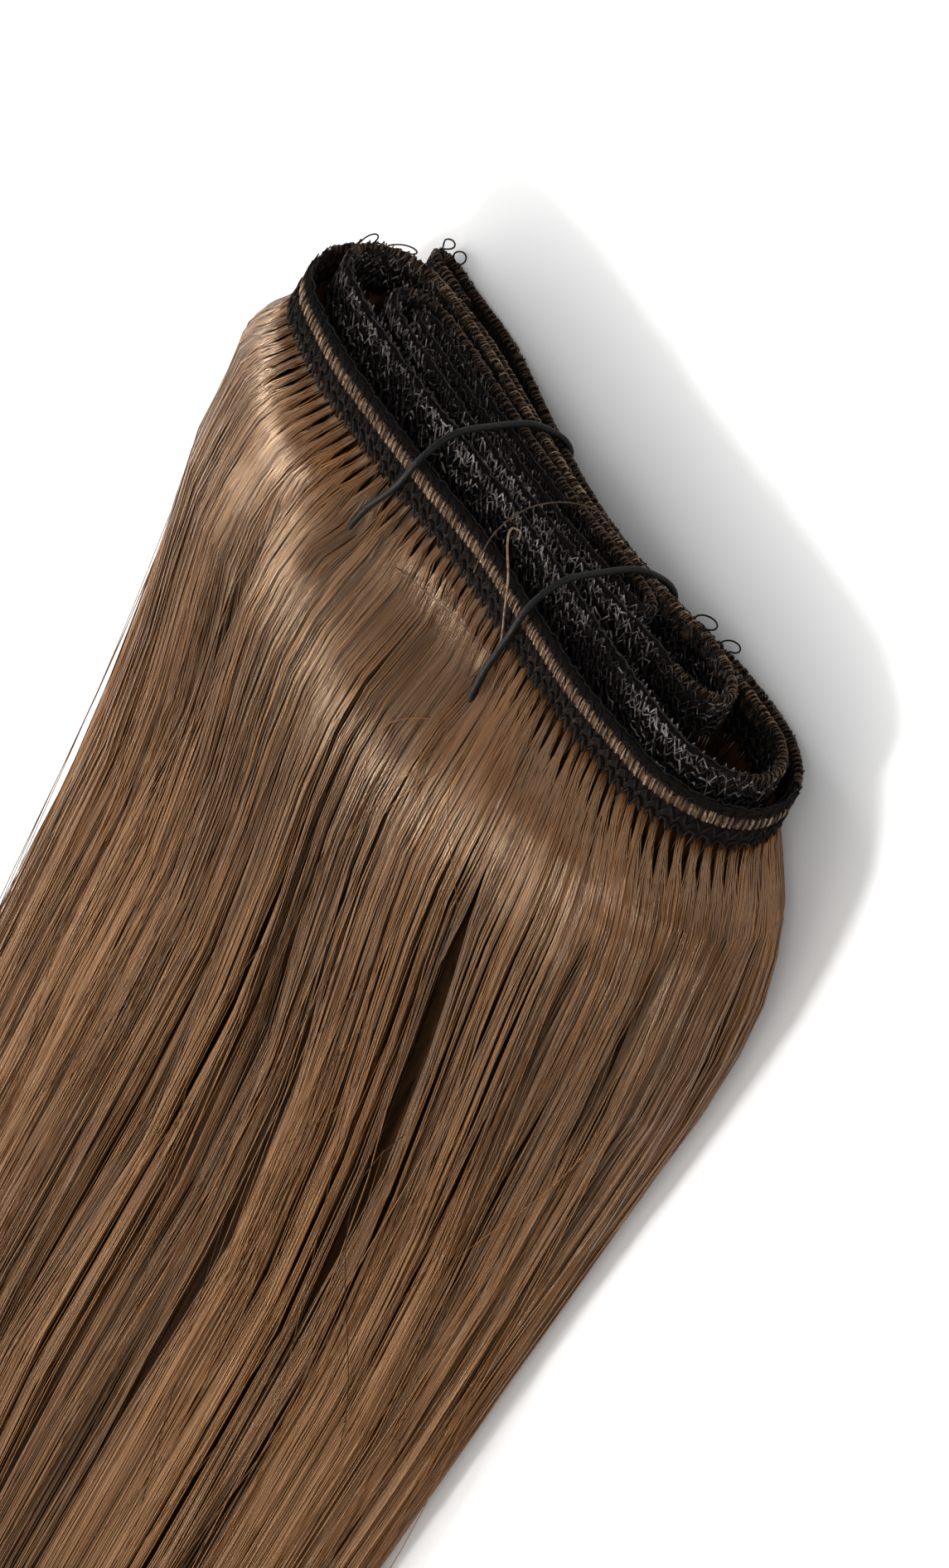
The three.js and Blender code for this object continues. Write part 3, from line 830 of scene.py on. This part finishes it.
def add_strand_pieces(material):
    rng = np.random.default_rng(STRAND_SEED)
    plan = lock_plan(rng)
    taper = mix(TIP_THICKNESS, 1.0, smooth(0, TIP_TAPER, 1 - STRAND_SHARE))
    for index in range(STRAND_PIECES):
        strands = choose_strands(STRANDS_PER_PIECE, rng, plan)
        draw_lines(strands, rng, plan)
        depth = strand_depth(strands, rng, plan)
        paths = strand_paths(strands, depth, rng)
        tone = strand_tones(strands, rng, plan)
        radii = STRAND_RADIUS * rng.uniform(*STRAND_THICKNESS, STRANDS_PER_PIECE)[:, None] * taper
        replaced = ["hair_fall"] if index == 0 else []
        name = f"hair_strands_{index + 1}"
        piece = make_tubes(name, paths, radii, tone, STRAND_SIDES, UPWARDS, material, replaced)
        lay_out_strands(piece, STRANDS_PER_PIECE, len(STRAND_STATIONS), STRAND_SIDES)


# The hair under and around the outer strands

# The hollow behind the roll, as y and depth, and the rows of the body's outer skin
BODY_HOLLOW = [(-16.5, 8.0), (-15, 6.5), (-12, 5.2), (-8, 4.6), (-5.0, 3.4)]
BODY_ROWS = np.concatenate([np.linspace(-5.0, -100, 42), np.linspace(-108, -350, 34)])
BODY_AROUND = 160
# The skin's depth under the strands: it grows behind the roll and shrinks again towards the tips
BODY_DEPTH = {"front": 2.0, "back": 3.4, "grows": (-8, -30), "less": 1.1, "shrinks": (-120, -350)}
BODY_PARTING = 0.8
# Rows of the dense root hair: out from the strip, up from its top edge, and share of the hair's form
ROOT_ROWS = [
    (-0.25, -5.4, 0), (-0.30, -7.0, 0.15), (-1.4, -11, 0.7), (-2.6, -17, 1),
    (-3.4, -17, 1), (-2.4, -11, 0.7), (-0.85, -7.0, 0.15), (-0.65, -5.4, 0),
]
ROOT_HAIR_STEP = 1.0
ROOT_HAIR_INNERMOST = -0.9
# Short hairs of the inner runs, which draw together a little behind the roll
INNER_SEED = 23
INNER_COUNT = 1000
INNER_STATIONS = 6
INNER_COMBED = 0.17
INNER_MARGIN = 0.5
INNER_OUT = 0.35
INNER_UP = (0.2, 1.0)
INNER_REACH = (20, 30)
INNER_LEAN = 1.2
INNER_GATHER = 0.12
INNER_RADIUS = STRAND_RADIUS * 1.1
INNER_TONE = -0.08
INNER_TONE_SPREAD = 0.06
ROLL_MIDDLE_Z = 15.0


def body_depth(y):
    grown = mix(BODY_DEPTH["front"], BODY_DEPTH["back"], smooth(*BODY_DEPTH["grows"], y))
    return grown - BODY_DEPTH["less"] * smooth(*BODY_DEPTH["shrinks"], y)


def add_hair_body(material):
    """The body of hair under the strands. Its front is hollow behind the roll, and it thins to the tips."""
    rows = [(y, depth, 0) for y, depth in BODY_HOLLOW]
    rows += [(y, body_depth(y), 1) for y in BODY_ROWS]
    y, depth, outer = np.array(rows).T[:, :, None]
    angle = np.linspace(-math.pi, math.pi, BODY_AROUND + 1)[None, :-1]
    gone = -STRIP_HEIGHT - y
    parted = part_hair(angle, gone)[1] * BODY_PARTING * outer
    valley = valley_depth(fall_surface(angle, y)[..., 0], gone) * (np.abs(angle) < math.pi / 2)
    points = under_surface(angle, y, depth + parted + valley)
    make_object("hair_body", points.reshape(-1, 3), skin_faces(*points.shape[:2]), material)


def add_root_hair(material):
    """The dense hair right behind the outer run, from the strip's lower edge into the body."""
    along = np.arange(ROOTS_START + 1, ROOTS_END - 1, ROOT_HAIR_STEP)
    angle = root_angle(along)
    rows = []
    for out, up, share in ROOT_ROWS:
        near = on_strip(along, np.full(len(along), max(out, ROOT_HAIR_INNERMOST)), up)
        valley = valley_depth(near[:, 0], -STRIP_HEIGHT - near[:, 1])
        far = under_surface(angle, near[:, 1], valley - out)
        rows.append(mix(near, far, share))
    points = np.stack(rows, axis=1)
    make_object("hair_roots", points.reshape(-1, 3), skin_faces(*points.shape[:2]), material)


def add_inner_hair(material):
    """Short lengths of the inner runs' hair, which go into the body behind the roll."""
    rng = np.random.default_rng(INNER_SEED)
    along = rng.uniform(0, STRIP_LENGTH, INNER_COUNT)
    stitch = np.floor(along / STITCH_PITCH) + 0.5
    along = (stitch + rng.normal(0, INNER_COMBED, INNER_COUNT)) * STITCH_PITCH
    along = np.clip(along, INNER_MARGIN, STRIP_LENGTH - INNER_MARGIN)
    out = rng.uniform(-INNER_OUT, INNER_OUT, INNER_COUNT)
    root = on_strip(along, out, -STRIP_HEIGHT + rng.uniform(*INNER_UP, INNER_COUNT))
    share = np.linspace(0, 1, INNER_STATIONS)[None, :]
    reach = rng.uniform(*INNER_REACH, INNER_COUNT)[:, None]
    paths = np.repeat(root[:, None, :], INNER_STATIONS, axis=1)
    paths[..., 1] -= reach * share
    lean = rng.normal(0, INNER_LEAN, (2, INNER_COUNT, 1))
    paths[..., 0] += lean[0] * share
    paths[..., 2] = mix(paths[..., 2], ROLL_MIDDLE_Z, INNER_GATHER * share) + lean[1] * share
    paths[..., 2] = np.maximum(paths[..., 2], LOWEST)
    tone = INNER_TONE + rng.normal(0, INNER_TONE_SPREAD, INNER_COUNT)[:, None]
    make_tubes("hair_inner", paths, INNER_RADIUS, tone, STRAND_SIDES, UPWARDS, material)


# Loose hairs: how many, place across, start, length, lift off the surface and sideways drift

FLYAWAYS = [
    {"count": 130, "angle": (-1.6, 1.6), "start": (26, 120), "length": (40, 210), "lift": (0.1, 1.0),
     "drift": 0.14},
    {"count": 8, "angle": (0.12, 0.36), "start": (10, 16), "length": (14, 30), "lift": (0.7, 1.1),
     "drift": 0.10},
    {"count": 7, "angle": (1.38, 1.50), "start": (70, 150), "length": (70, 130), "lift": (2.0, 6.0),
     "drift": 0.03},
    {"count": 6, "angle": (-1.50, -1.30), "start": (10, 120), "length": (60, 140), "lift": (0.8, 2.0),
     "drift": 0.04},
]
FLYAWAY_RANGES = ("angle", "start", "length", "lift")
FLYAWAY_SEED = 53
FLYAWAY_STATIONS = 12
FLYAWAY_SHARE = np.linspace(0, 1, FLYAWAY_STATIONS)[None, :]
FLYAWAY_TURNS = (0.8, 2.2)
FLYAWAY_BEND = 0.3
FLYAWAY_DRIFT_POWER = 1.3
FLYAWAY_LIFT_POWER = 0.8
FLYAWAY_END_DEPTH = 0.5
FLYAWAY_EASING = 2
FLYAWAY_RADIUS = STRAND_RADIUS * 0.6
FLYAWAY_TIP = {"thickness": 0.4, "taper": 0.2}
FLYAWAY_TONE = 0.34
FLYAWAY_TONE_SPREAD = 0.16


def ease(paths, times):
    """Takes small kinks out of paths and keeps their ends."""
    for _ in range(times):
        paths[:, 1:-1] = (paths[:, :-2] + 2 * paths[:, 1:-1] + paths[:, 2:]) / 4
    return paths


def flyaway_paths(group, rng):
    """Single hairs that stand a little off the surface or cross the others."""
    count, share = group["count"], FLYAWAY_SHARE
    ranges = [rng.uniform(*group[key], count)[:, None] for key in FLYAWAY_RANGES]
    angle, start, length, lift = ranges
    gone = start + length * share
    drift = rng.normal(0, group["drift"], count)[:, None] * share ** FLYAWAY_DRIFT_POWER
    turns = rng.uniform(*FLYAWAY_TURNS, count)[:, None]
    bend = FLYAWAY_BEND * group["drift"] * rng.normal(0, 1, count)[:, None]
    line = angle + drift + bend * np.sin(share * math.pi * turns)
    y = -STRIP_HEIGHT - gone
    valley = valley_depth(fall_surface(line, y)[..., 0], gone)
    lifted = lift * np.sin(share * math.pi) ** FLYAWAY_LIFT_POWER
    paths = under_surface(line, y, valley - lifted + FLYAWAY_END_DEPTH)
    return ease(paths, FLYAWAY_EASING)


def add_flyaways(material):
    rng = np.random.default_rng(FLYAWAY_SEED)
    paths = np.concatenate([flyaway_paths(group, rng) for group in FLYAWAYS])
    count = len(paths)
    taper = mix(FLYAWAY_TIP["thickness"], 1.0, smooth(0, FLYAWAY_TIP["taper"], 1 - FLYAWAY_SHARE))
    radii = FLYAWAY_RADIUS * taper
    tone = FLYAWAY_TONE + rng.normal(0, FLYAWAY_TONE_SPREAD, count)[:, None]
    piece = make_tubes("hair_flyaways", paths, radii, tone, STRAND_SIDES, UPWARDS, material)
    lay_out_strands(piece, count, FLYAWAY_STATIONS, STRAND_SIDES)


# The weft strip and its stitches

# The band's section from its lower to its top edge: height, half thickness, depth of ribs and lightness. Its
# dark bands are partly the thread's black and partly painted shade
BAND_HEIGHTS = np.array([-6.2, -5.7, -4.7, -3.2, -2.8, -2.1, -1.4, -1.1, -0.2])
BAND_HALVES = np.array([0.28, 0.40, 0.42, 0.40, 0.46, 0.50, 0.46, 0.40, 0.24])
BAND_RIBS = np.array([0.10, 0.08, 0.06, 0.03, 0.03, 0.04, 0.03, 0.0, 0.0])
BAND_LIGHT = np.array([0.3, 0.12, 0.30, 0.10, 0.6, 0.7, 0.5, 0.08, 0.10])
BAND_STEPS_PER_STITCH = 4
# Painted shade: the band on the inner runs, which lie in shade inside the roll, is this light
BAND_INNER_PAINTED_SHADE = 0.15
BAND_BROWN = {"above": -2.5, "amount": 0.35}
# Painted shade in the grooves between the ribs
BAND_RIB_SHADE = 0.35
# Stitches as share of the pitch, out from the middle of the strip and up from its top edge
LOWER_ROW = [(0.0, 0.50, -6.8), (0.15, 0.72, -6.2), (0.45, 0.72, -5.2), (0.7, 0.54, -5.0)]
UPPER_ROW = [(0.0, 0.58, -4.7), (0.25, 0.68, -4.1), (0.5, 0.66, -3.2), (0.75, 0.66, -4.0)]
LONG_ZIGZAG = [(0.0, 0.50, -2.4), (0.25, 0.60, -1.3), (0.5, 0.54, -0.3), (0.75, 0.60, -1.4)]
SHORT_ZIGZAG = [(0.0, 0.52, -1.6), (0.5, 0.62, -0.5)]
SHORT_PITCH = 1.35
BLACK_THREAD = {"mess": 0.05, "tone": 0.14, "grey": False, "start": 0.0}
GREY_THREAD = {"mess": 0.10, "tone": 0.95, "grey": True, "start": 0.0}
# The inner runs are sewn over and over: more short rows, one below the other
INNER_THREAD = {"mess": 0.13, "tone": 0.92, "grey": True, "start": RUN_MARKS[OUTER_RUN + 1][1]}
INNER_ROWS = 5
INNER_ROW_TOP = -0.7
INNER_ROW_STEP = 1.05
INNER_ROW_PITCH = 0.92
INNER_ROW_PITCH_STEP = 0.07
STITCH_SEED = 37
STITCH_SIDES = 3
STITCH_MESS = {"up": 2.6, "out": 0.03}
STITCH_HIGHEST = 0.1
STITCH_TONES = (0.15, 1.5)
# Patches of lighter and darker thread, from two waves along the strip
PATCHES = {"mean": 0.75, "swing": 0.35, "short": 5.3, "long": 13.7, "shift": 1}
# The thread along the top edge
CORD_SEED = 41
CORD_MARGIN = 0.3
CORD_STEP = 0.55
CORD_MESS = {"out": 0.14, "up": 0.08}
CORD_RADIUS = 0.14
CORD_RADII = (0.7, 1.3)
CORD_SIDES = 4
CORD_DIRECTION = (0, 1, 0)
CORD_TONE = 0.35
CORD_TONES = (0.5, 1.1)


def inner_row(index):
    height = INNER_ROW_TOP - INNER_ROW_STEP * index
    pattern = [(0.0, 0.56, height - 0.5), (0.5, 0.68, height + 0.45)]
    pitch = INNER_ROW_PITCH + INNER_ROW_PITCH_STEP * index
    return {"pattern": pattern, "pitch": pitch, "radius": 0.14, **INNER_THREAD}


STITCH_ROWS = {
    "stitch_lower": {"pattern": LOWER_ROW, "pitch": STITCH_PITCH, "radius": 0.24, **BLACK_THREAD},
    "stitch_upper": {"pattern": UPPER_ROW, "pitch": STITCH_PITCH, "radius": 0.20, **BLACK_THREAD},
    "edge_long": {"pattern": LONG_ZIGZAG, "pitch": STITCH_PITCH, "radius": 0.11, **GREY_THREAD},
    "edge_short": {"pattern": SHORT_ZIGZAG, "pitch": SHORT_PITCH, "radius": 0.10, **GREY_THREAD},
    **{f"inner_row_{index + 1}": inner_row(index) for index in range(INNER_ROWS)},
}


def both_faces(values):
    """Values up one face of the strip and down the other."""
    return np.concatenate([values, values[::-1]])


def add_band(material):
    """The sewn band of hair along the strip, ribbed by the stitches that gather it, with painted shade on
    the inner runs and in the ribs' grooves.
    """
    along = np.arange(0, STRIP_LENGTH, STITCH_PITCH / BAND_STEPS_PER_STITCH)[:, None]
    up = both_faces(BAND_HEIGHTS)
    sign = np.repeat([1.0, -1.0], len(BAND_HEIGHTS))
    wave = np.cos(2 * math.pi * along / STITCH_PITCH)
    out = sign * (both_faces(BAND_HALVES) - both_faces(BAND_RIBS) * wave)
    points = on_strip(np.broadcast_to(along, out.shape), out, np.broadcast_to(up, out.shape))
    faces = skin_faces(*out.shape, other_way=True)
    piece = make_object("weft_band", points.reshape(-1, 3), faces, material, ["weft_track"])
    outer = by_run(ON_OUTER_RUN, along)
    brown = by_run(EDGE_BROWN, along) * (up > BAND_BROWN["above"])
    # The inner runs' band is painted darker as shade, and its brown top edge is the hair's own
    tone = both_faces(BAND_LIGHT) * mix(BAND_INNER_PAINTED_SHADE, 1.0, outer) + BAND_BROWN["amount"] * brown
    # Painted shade: the band is darker in the grooves between the ribs
    set_tone(piece, tone * (1 - BAND_RIB_SHADE * wave))


def stitch_path(row, side, rng):
    """A thread that repeats a pattern along one face, a little unevenly."""
    pitch, mess, start = row["pitch"], row["mess"], row["start"]
    stitches = int((STRIP_LENGTH - start) / pitch) - 1
    share, out, up = np.array(row["pattern"]).T
    along = start + (np.arange(stitches)[:, None] + 0.5 + share) * pitch
    along = along + rng.normal(0, mess * pitch, along.shape)
    height = up + rng.normal(0, STITCH_MESS["up"] * mess, along.shape)
    away = side * (out + rng.normal(0, STITCH_MESS["out"], along.shape))
    along = np.clip(np.sort(along.ravel()), 0, STRIP_LENGTH)
    return on_strip(along, away.ravel(), np.minimum(height.ravel(), STITCH_HIGHEST)), along


def thread_patches(along):
    swing = np.sin(along / PATCHES["short"]) * np.sin(along / PATCHES["long"] + PATCHES["shift"])
    return PATCHES["mean"] + PATCHES["swing"] * swing


def add_stitches(material):
    rng = np.random.default_rng(STITCH_SEED)
    for name, row in STITCH_ROWS.items():
        rows = [stitch_path(row, side, rng) for side in (1, -1)]
        paths = np.stack([path for path, _ in rows])
        along = np.stack([place for _, place in rows])
        reference = unit(interpolate(along, STRIP_OUTWARD))
        # Partly painted sheen and light: the inner runs' thread is greyer
        grey = by_run(THREAD_GREY_AND_SHEEN, along) * thread_patches(along) if row["grey"] else 1.0
        tone = row["tone"] * grey * rng.uniform(*STITCH_TONES, along.shape)
        make_tubes(name, paths, row["radius"], tone, STITCH_SIDES, reference, material)


def add_edge_cord(material):
    """The thread that finishes the strip's top edge."""
    rng = np.random.default_rng(CORD_SEED)
    along = np.arange(CORD_MARGIN, STRIP_LENGTH - CORD_MARGIN, CORD_STEP)
    count = len(along)
    out = rng.normal(0, CORD_MESS["out"], count)
    path = on_strip(along, out, rng.normal(0.0, CORD_MESS["up"], count))
    radii = CORD_RADIUS * rng.uniform(*CORD_RADII, count)
    # The cord's grey on the inner runs is partly painted sheen and light
    tone = CORD_TONE * by_run(THREAD_GREY_AND_SHEEN, along) * rng.uniform(*CORD_TONES, count)
    make_tubes("edge_cord", path[None], radii, tone, CORD_SIDES, CORD_DIRECTION, material)


# Hair on the strip itself, a few hairs for each stitch

EDGE_HAIR_SEED = 43
EDGE_HAIR_STATIONS = 6
EDGE_HAIR_RADIUS = 0.12
EDGE_HAIR_SIDES = 3
EDGE_HAIR_DIRECTION = (0.3, 0.2, 0.9)
EDGE_HAIR_TONES_SPREAD = (0.4, 1.4)
# Arches over the top edge of the brown runs: places in the pitch, form, and darkest and lightest tone
ARCH_PLACES = [0.0, 0.0, 0.5, 0.5]
ARCH_LEAST_BROWN = 0.35
ARCH = {"mess": 0.10, "half": 0.56, "top": 0.16, "drop": 1.0, "power": 2.2, "up_mess": 0.06, "lean": 0.25}
ARCH_TONES = (0.15, 0.75)
# The light band on the face of the outer run: places in the pitch, heights, form and tone
FACE_PLACES = [0.0, 0.0, 0.0, 0.5, 0.5, 0.5]
FACE_LEAST_OUTER = 0.3
FACE_HEIGHTS = (-3.0, -1.3)
FACE = {"mess": 0.07, "out": 0.5, "bulge": 0.1, "lean": 0.1, "up_mess": 0.08}
FACE_TONE = 0.85


def hairs_in_stitches(stitches, places, mess, rng):
    """Several hairs for each stitch, at places that are shares of the pitch, a little unevenly."""
    along = np.repeat(stitches, len(places)) + np.tile(places, len(stitches)) * STITCH_PITCH
    return along + rng.normal(0, mess, len(along)) * STITCH_PITCH


def edge_arches(stitches, rng):
    """Hair that bends over the top edge on the lower runs."""
    brown = by_run(EDGE_BROWN, stitches) > ARCH_LEAST_BROWN
    over = hairs_in_stitches(stitches[brown], ARCH_PLACES, ARCH["mess"], rng)
    arch = np.linspace(-1, 1, EDGE_HAIR_STATIONS)
    out = np.broadcast_to(ARCH["half"] * np.sin(arch * math.pi / 2), (len(over), EDGE_HAIR_STATIONS))
    up = ARCH["top"] - ARCH["drop"] * np.abs(arch) ** ARCH["power"]
    up = up + rng.normal(0, ARCH["up_mess"], (len(over), 1))
    lean = over[:, None] + ARCH["lean"] * arch
    tone = mix(*ARCH_TONES, by_run(EDGE_BROWN, over))
    return on_strip(np.clip(lean, 0, STRIP_LENGTH), out, up), tone


def face_hairs(stitches, rng):
    """The light band of hair on the outer run."""
    outer = by_run(ON_OUTER_RUN, stitches) > FACE_LEAST_OUTER
    face = hairs_in_stitches(stitches[outer], FACE_PLACES, FACE["mess"], rng)
    climb = np.linspace(*FACE_HEIGHTS, EDGE_HAIR_STATIONS)
    bulge = FACE["out"] + FACE["bulge"] * np.sin(np.linspace(0, math.pi, EDGE_HAIR_STATIONS))
    out = np.broadcast_to(bulge, (len(face), EDGE_HAIR_STATIONS))
    up = climb + rng.normal(0, FACE["up_mess"], (len(face), 1))
    return on_strip(face[:, None] + FACE["lean"] * climb, out, up), np.full(len(face), FACE_TONE)


def add_edge_hair(material):
    rng = np.random.default_rng(EDGE_HAIR_SEED)
    stitches = (np.arange(int(STRIP_LENGTH / STITCH_PITCH) - 1) + 0.5) * STITCH_PITCH
    arches, arch_tone = edge_arches(stitches, rng)
    faces, face_tone = face_hairs(stitches, rng)
    paths = np.concatenate([arches, faces])
    tone = np.concatenate([arch_tone, face_tone])
    tone = (tone * rng.uniform(*EDGE_HAIR_TONES_SPREAD, len(tone)))[:, None]
    make_tubes("edge_hair", paths, EDGE_HAIR_RADIUS, tone, EDGE_HAIR_SIDES, EDGE_HAIR_DIRECTION,
               material)


# Loose threads

# Loops: run that carries it, distance from that run's start, width, height and lean
THREAD_LOOPS = [
    (3, 81.2, 2.1, 2.0, 0.2),
    (3, 84.4, 2.3, 1.9, -0.3),
    (1, 97.2, 3.6, 1.9, 0.3),
    (1, 102.0, 2.2, 1.8, 0.2),
    (0, -1.2, 2.2, 2.3, 0.4),
    (0, 1.6, 2.1, 2.2, -0.3),
    (0, -3.8, 1.7, 1.5, 0.2),
    (0, 67.4, 2.7, 2.2, 0.1),
    (0, 71.8, 2.2, 2.2, 0.5),
    (2, 60.0, 1.5, 1.1, 0.2),
    (3, 78.0, 1.5, 1.1, 0.4),
]
LOOP_STATIONS = 16
LOOP_TURNS = (-0.78, 0.86)
LOOP_SLANT = 0.25
LOOP_STAND = 0.85
LOOP_RADIUS = 0.12
LOOP_SIDES = 5
LOOP_DIRECTION = (0.1, 0.2, 1.0)
LOOP_TONE = 0.3
# Stray threads on the roll, as points in the modelling axes
STRAY_THREADS = [
    {"tone": 0.45, "radius": 0.10, "points": [
        (4.5, -3.6, 27.2), (3.9, -1.0, 26.9), (3.2, 1.9, 25.8), (2.3, 4.5, 21.7), (2.5, 5.1, 15.3),
        (4.8, 5.0, 11.4), (5.6, 3.4, 10.0)]},
    {"tone": 1.0, "radius": 0.14, "points": [
        (6.4, 3.7, 25.2), (5.5, 4.0, 24.6), (4.7, 3.9, 25.2), (5.8, 3.4, 26.4), (9.3, 0.2, 26.9),
        (11.2, -3.1, 26.9), (13.0, -6.4, 26.8), (13.9, -8.2, 27.2)]},
    {"tone": 0.15, "radius": 0.12, "points": [
        (14.4, -8.0, 27.3), (13.6, -11.0, 27.6), (12.4, -14.0, 28.2)]},
    {"tone": 0.5, "radius": 0.06, "points": [
        (-7.3, -13.6, 27.6), (-1.0, -12.0, 27.2), (5.0, -10.6, 26.9), (10.0, -9.5, 27.2),
        (13.9, -8.8, 27.4)]},
]
STRAY_STEP = 6
STRAY_SIDES = 6
STRAY_DIRECTION = (0.9, 0.1, 0.3)


def add_thread_loops(material):
    paths = []
    turn = np.linspace(*LOOP_TURNS, LOOP_STATIONS) * math.pi
    for run, distance, width, height, lean in THREAD_LOOPS:
        along = RUN_MARKS[run][0] + distance + width / 2 * np.sin(turn) + LOOP_SLANT * width * np.cos(turn)
        up = height / 2 * (LOOP_STAND + np.cos(turn))
        out = lean * np.linspace(-0.5, 0.5, LOOP_STATIONS) * width
        paths.append(on_strip(np.clip(along, 0, STRIP_LENGTH), out, up))
    make_tubes("thread_loops", np.stack(paths), LOOP_RADIUS, LOOP_TONE, LOOP_SIDES, LOOP_DIRECTION,
               material)


def add_stray_threads(material):
    for index, thread in enumerate(STRAY_THREADS):
        path = catmull_rom(thread["points"])[::STRAY_STEP]
        make_tubes(f"stray_thread_{index + 1}", path[None], thread["radius"], thread["tone"], STRAY_SIDES,
                   STRAY_DIRECTION, material)


# Ties

def add_tie(node, tie, material):
    """A closed loop of elastic round the roll."""
    route = []
    for y, rise in TIE_ROUTE:
        x = mix(tie["x"], tie_place(tie, y), smooth(*TIE_LEAN_RISE, rise))
        route.append((x, y, tie["low"] + rise * (tie["high"] - tie["low"])))
    line = catmull_rom(route, closed=True)[::CURVE_STEPS // TIE_STEPS]
    tangent = unit(np.roll(line, -1, axis=0) - np.roll(line, 1, axis=0))
    across = np.array([1.0, 0, 0])
    other = np.cross(across, tangent)
    turn = np.arange(TIE_SIDES) / TIE_SIDES * 2 * math.pi
    ring = across * np.cos(turn)[:, None] + other[:, None, :] * np.sin(turn)[:, None]
    points = line[:, None, :] + ring * TIE_DIAMETER / 2
    grid = np.arange(len(line) * TIE_SIDES).reshape(len(line), TIE_SIDES)
    follow = np.roll(grid, -1, axis=1)
    onward = np.roll(grid, -1, axis=0)
    walls = np.stack([grid, onward, np.roll(follow, -1, axis=0), follow], axis=-1).reshape(-1, 4)
    piece = make_object(node + "_cord", points.reshape(-1, 3), [walls], material, [node])
    set_tone(piece, TIE_TONE)


# Stage

FLOOR_REACH = 6.0
# Soft lights: direction they shine from, aim, distance and size in metres, spread, power and colour
WHOLE = (0, -60, 15)
CREST = (-4, -34, 28)
WHITE = (1.0, 1.0, 1.0)
GOLD = (1.0, 0.88, 0.74)
LIGHTS = {
    "left_light": {"from": (-0.80, -0.29, 0.52), "aim": WHOLE, "distance": 1.3, "size": 2.0,
                   "spread": 180, "power": 22.0, "color": WHITE},
    "fill_light": {"from": (0.62, 0.60, 0.50), "aim": WHOLE, "distance": 1.6, "size": 1.6,
                   "spread": 180, "power": 10.5, "color": WHITE},
    "back_light": {"from": (-0.10, -0.80, 0.60), "aim": WHOLE, "distance": 1.3, "size": 1.5,
                   "spread": 180, "power": 7.4, "color": GOLD},
    "crest_light": {"from": (-0.09, -0.61, 0.785), "aim": CREST, "distance": 0.8, "size": 0.22,
                    "spread": 16, "power": 0.12, "color": WHITE},
}
WORLD_STRENGTH = 0.50


def add_floor():
    mesh = bpy.data.meshes.new("floor")
    reach = FLOOR_REACH
    corners = [(-reach, -reach, 0), (reach, -reach, 0), (reach, reach, 0), (-reach, reach, 0)]
    mesh.from_pydata(corners, [], [(0, 1, 2, 3)])
    mesh.materials.append(floor_material())
    floor = bpy.data.objects.new("floor", mesh)
    bpy.context.scene.collection.objects.link(floor)


def add_area_light(name, plan):
    light = bpy.data.lights.new(name, "AREA")
    light.size = plan["size"]
    light.energy = plan["power"]
    light.color = plan["color"]
    light.spread = math.radians(plan["spread"])
    lamp = bpy.data.objects.new(name, light)
    away = Vector(plan["from"]).normalized()
    lamp.location = Vector(to_frame(plan["aim"])) + away * plan["distance"]
    lamp.rotation_euler = away.to_track_quat("Z", "Y").to_euler()
    bpy.context.scene.collection.objects.link(lamp)


def add_light():
    world = bpy.data.worlds.new("studio")
    world.use_nodes = True
    background = world.node_tree.nodes["Background"]
    background.inputs["Color"].default_value = (*WHITE, 1.0)
    background.inputs["Strength"].default_value = WORLD_STRENGTH
    bpy.context.scene.world = world
    for name, plan in LIGHTS.items():
        add_area_light(name, plan)
    bpy.context.scene.view_settings.view_transform = "Standard"


def add_camera():
    azimuth, elevation, roll = CAMERA_AZIMUTH, CAMERA_ELEVATION, CAMERA_ROLL
    away = Vector((math.sin(azimuth) * math.cos(elevation), math.cos(azimuth) * math.cos(elevation),
                   math.sin(elevation)))
    level = (-away).cross(Vector(UPWARDS)).normalized()
    rise = level.cross(-away)
    right = level * math.cos(roll) + rise * math.sin(roll)
    up = rise * math.cos(roll) - level * math.sin(roll)
    camera_data = bpy.data.cameras.new("camera")
    camera_data.lens = CAMERA_LENS
    camera_data.sensor_width = CAMERA_SENSOR
    camera_data.clip_start = CAMERA_CLIP
    camera = bpy.data.objects.new("camera", camera_data)
    place = Vector(to_frame(CAMERA_TARGET)) + away * CAMERA_DISTANCE * MM
    turn = Matrix((right, up, away)).transposed().to_4x4()
    camera.matrix_world = Matrix.Translation(place) @ turn
    bpy.context.scene.collection.objects.link(camera)
    bpy.context.scene.camera = camera


def main():
    add_camera()
    add_light()
    add_floor()
    hair = hair_material("hair_strands", roughness=0.27, specular=1.0)
    # The hair body and the root hair share the body's painted-shade colour
    body = painted_shade_body_material()
    add_hair_body(body)
    add_root_hair(body)
    add_strand_pieces(hair)
    add_inner_hair(hair)
    add_flyaways(hair_material("loose_hair", roughness=0.6, specular=0.2))
    add_band(sewn_material("weft_band", BAND_TONES, 0.8, 0.03, BAND_GRAIN, BAND_BUMP))
    thread = sewn_material("thread", THREAD_TONES, roughness=0.65, specular=0.06)
    add_stitches(thread)
    add_edge_cord(thread)
    edge_hair = sewn_material("edge_hair", EDGE_HAIR_TONES, roughness=0.5, specular=0.15)
    add_edge_hair(edge_hair)
    add_thread_loops(thread)
    add_stray_threads(edge_hair)
    elastic = sewn_material("elastic", ELASTIC_TONES, roughness=0.40, specular=0.08)
    add_tie("tie_left", TIE_LEFT, elastic)
    add_tie("tie_right", TIE_RIGHT, elastic)


main()
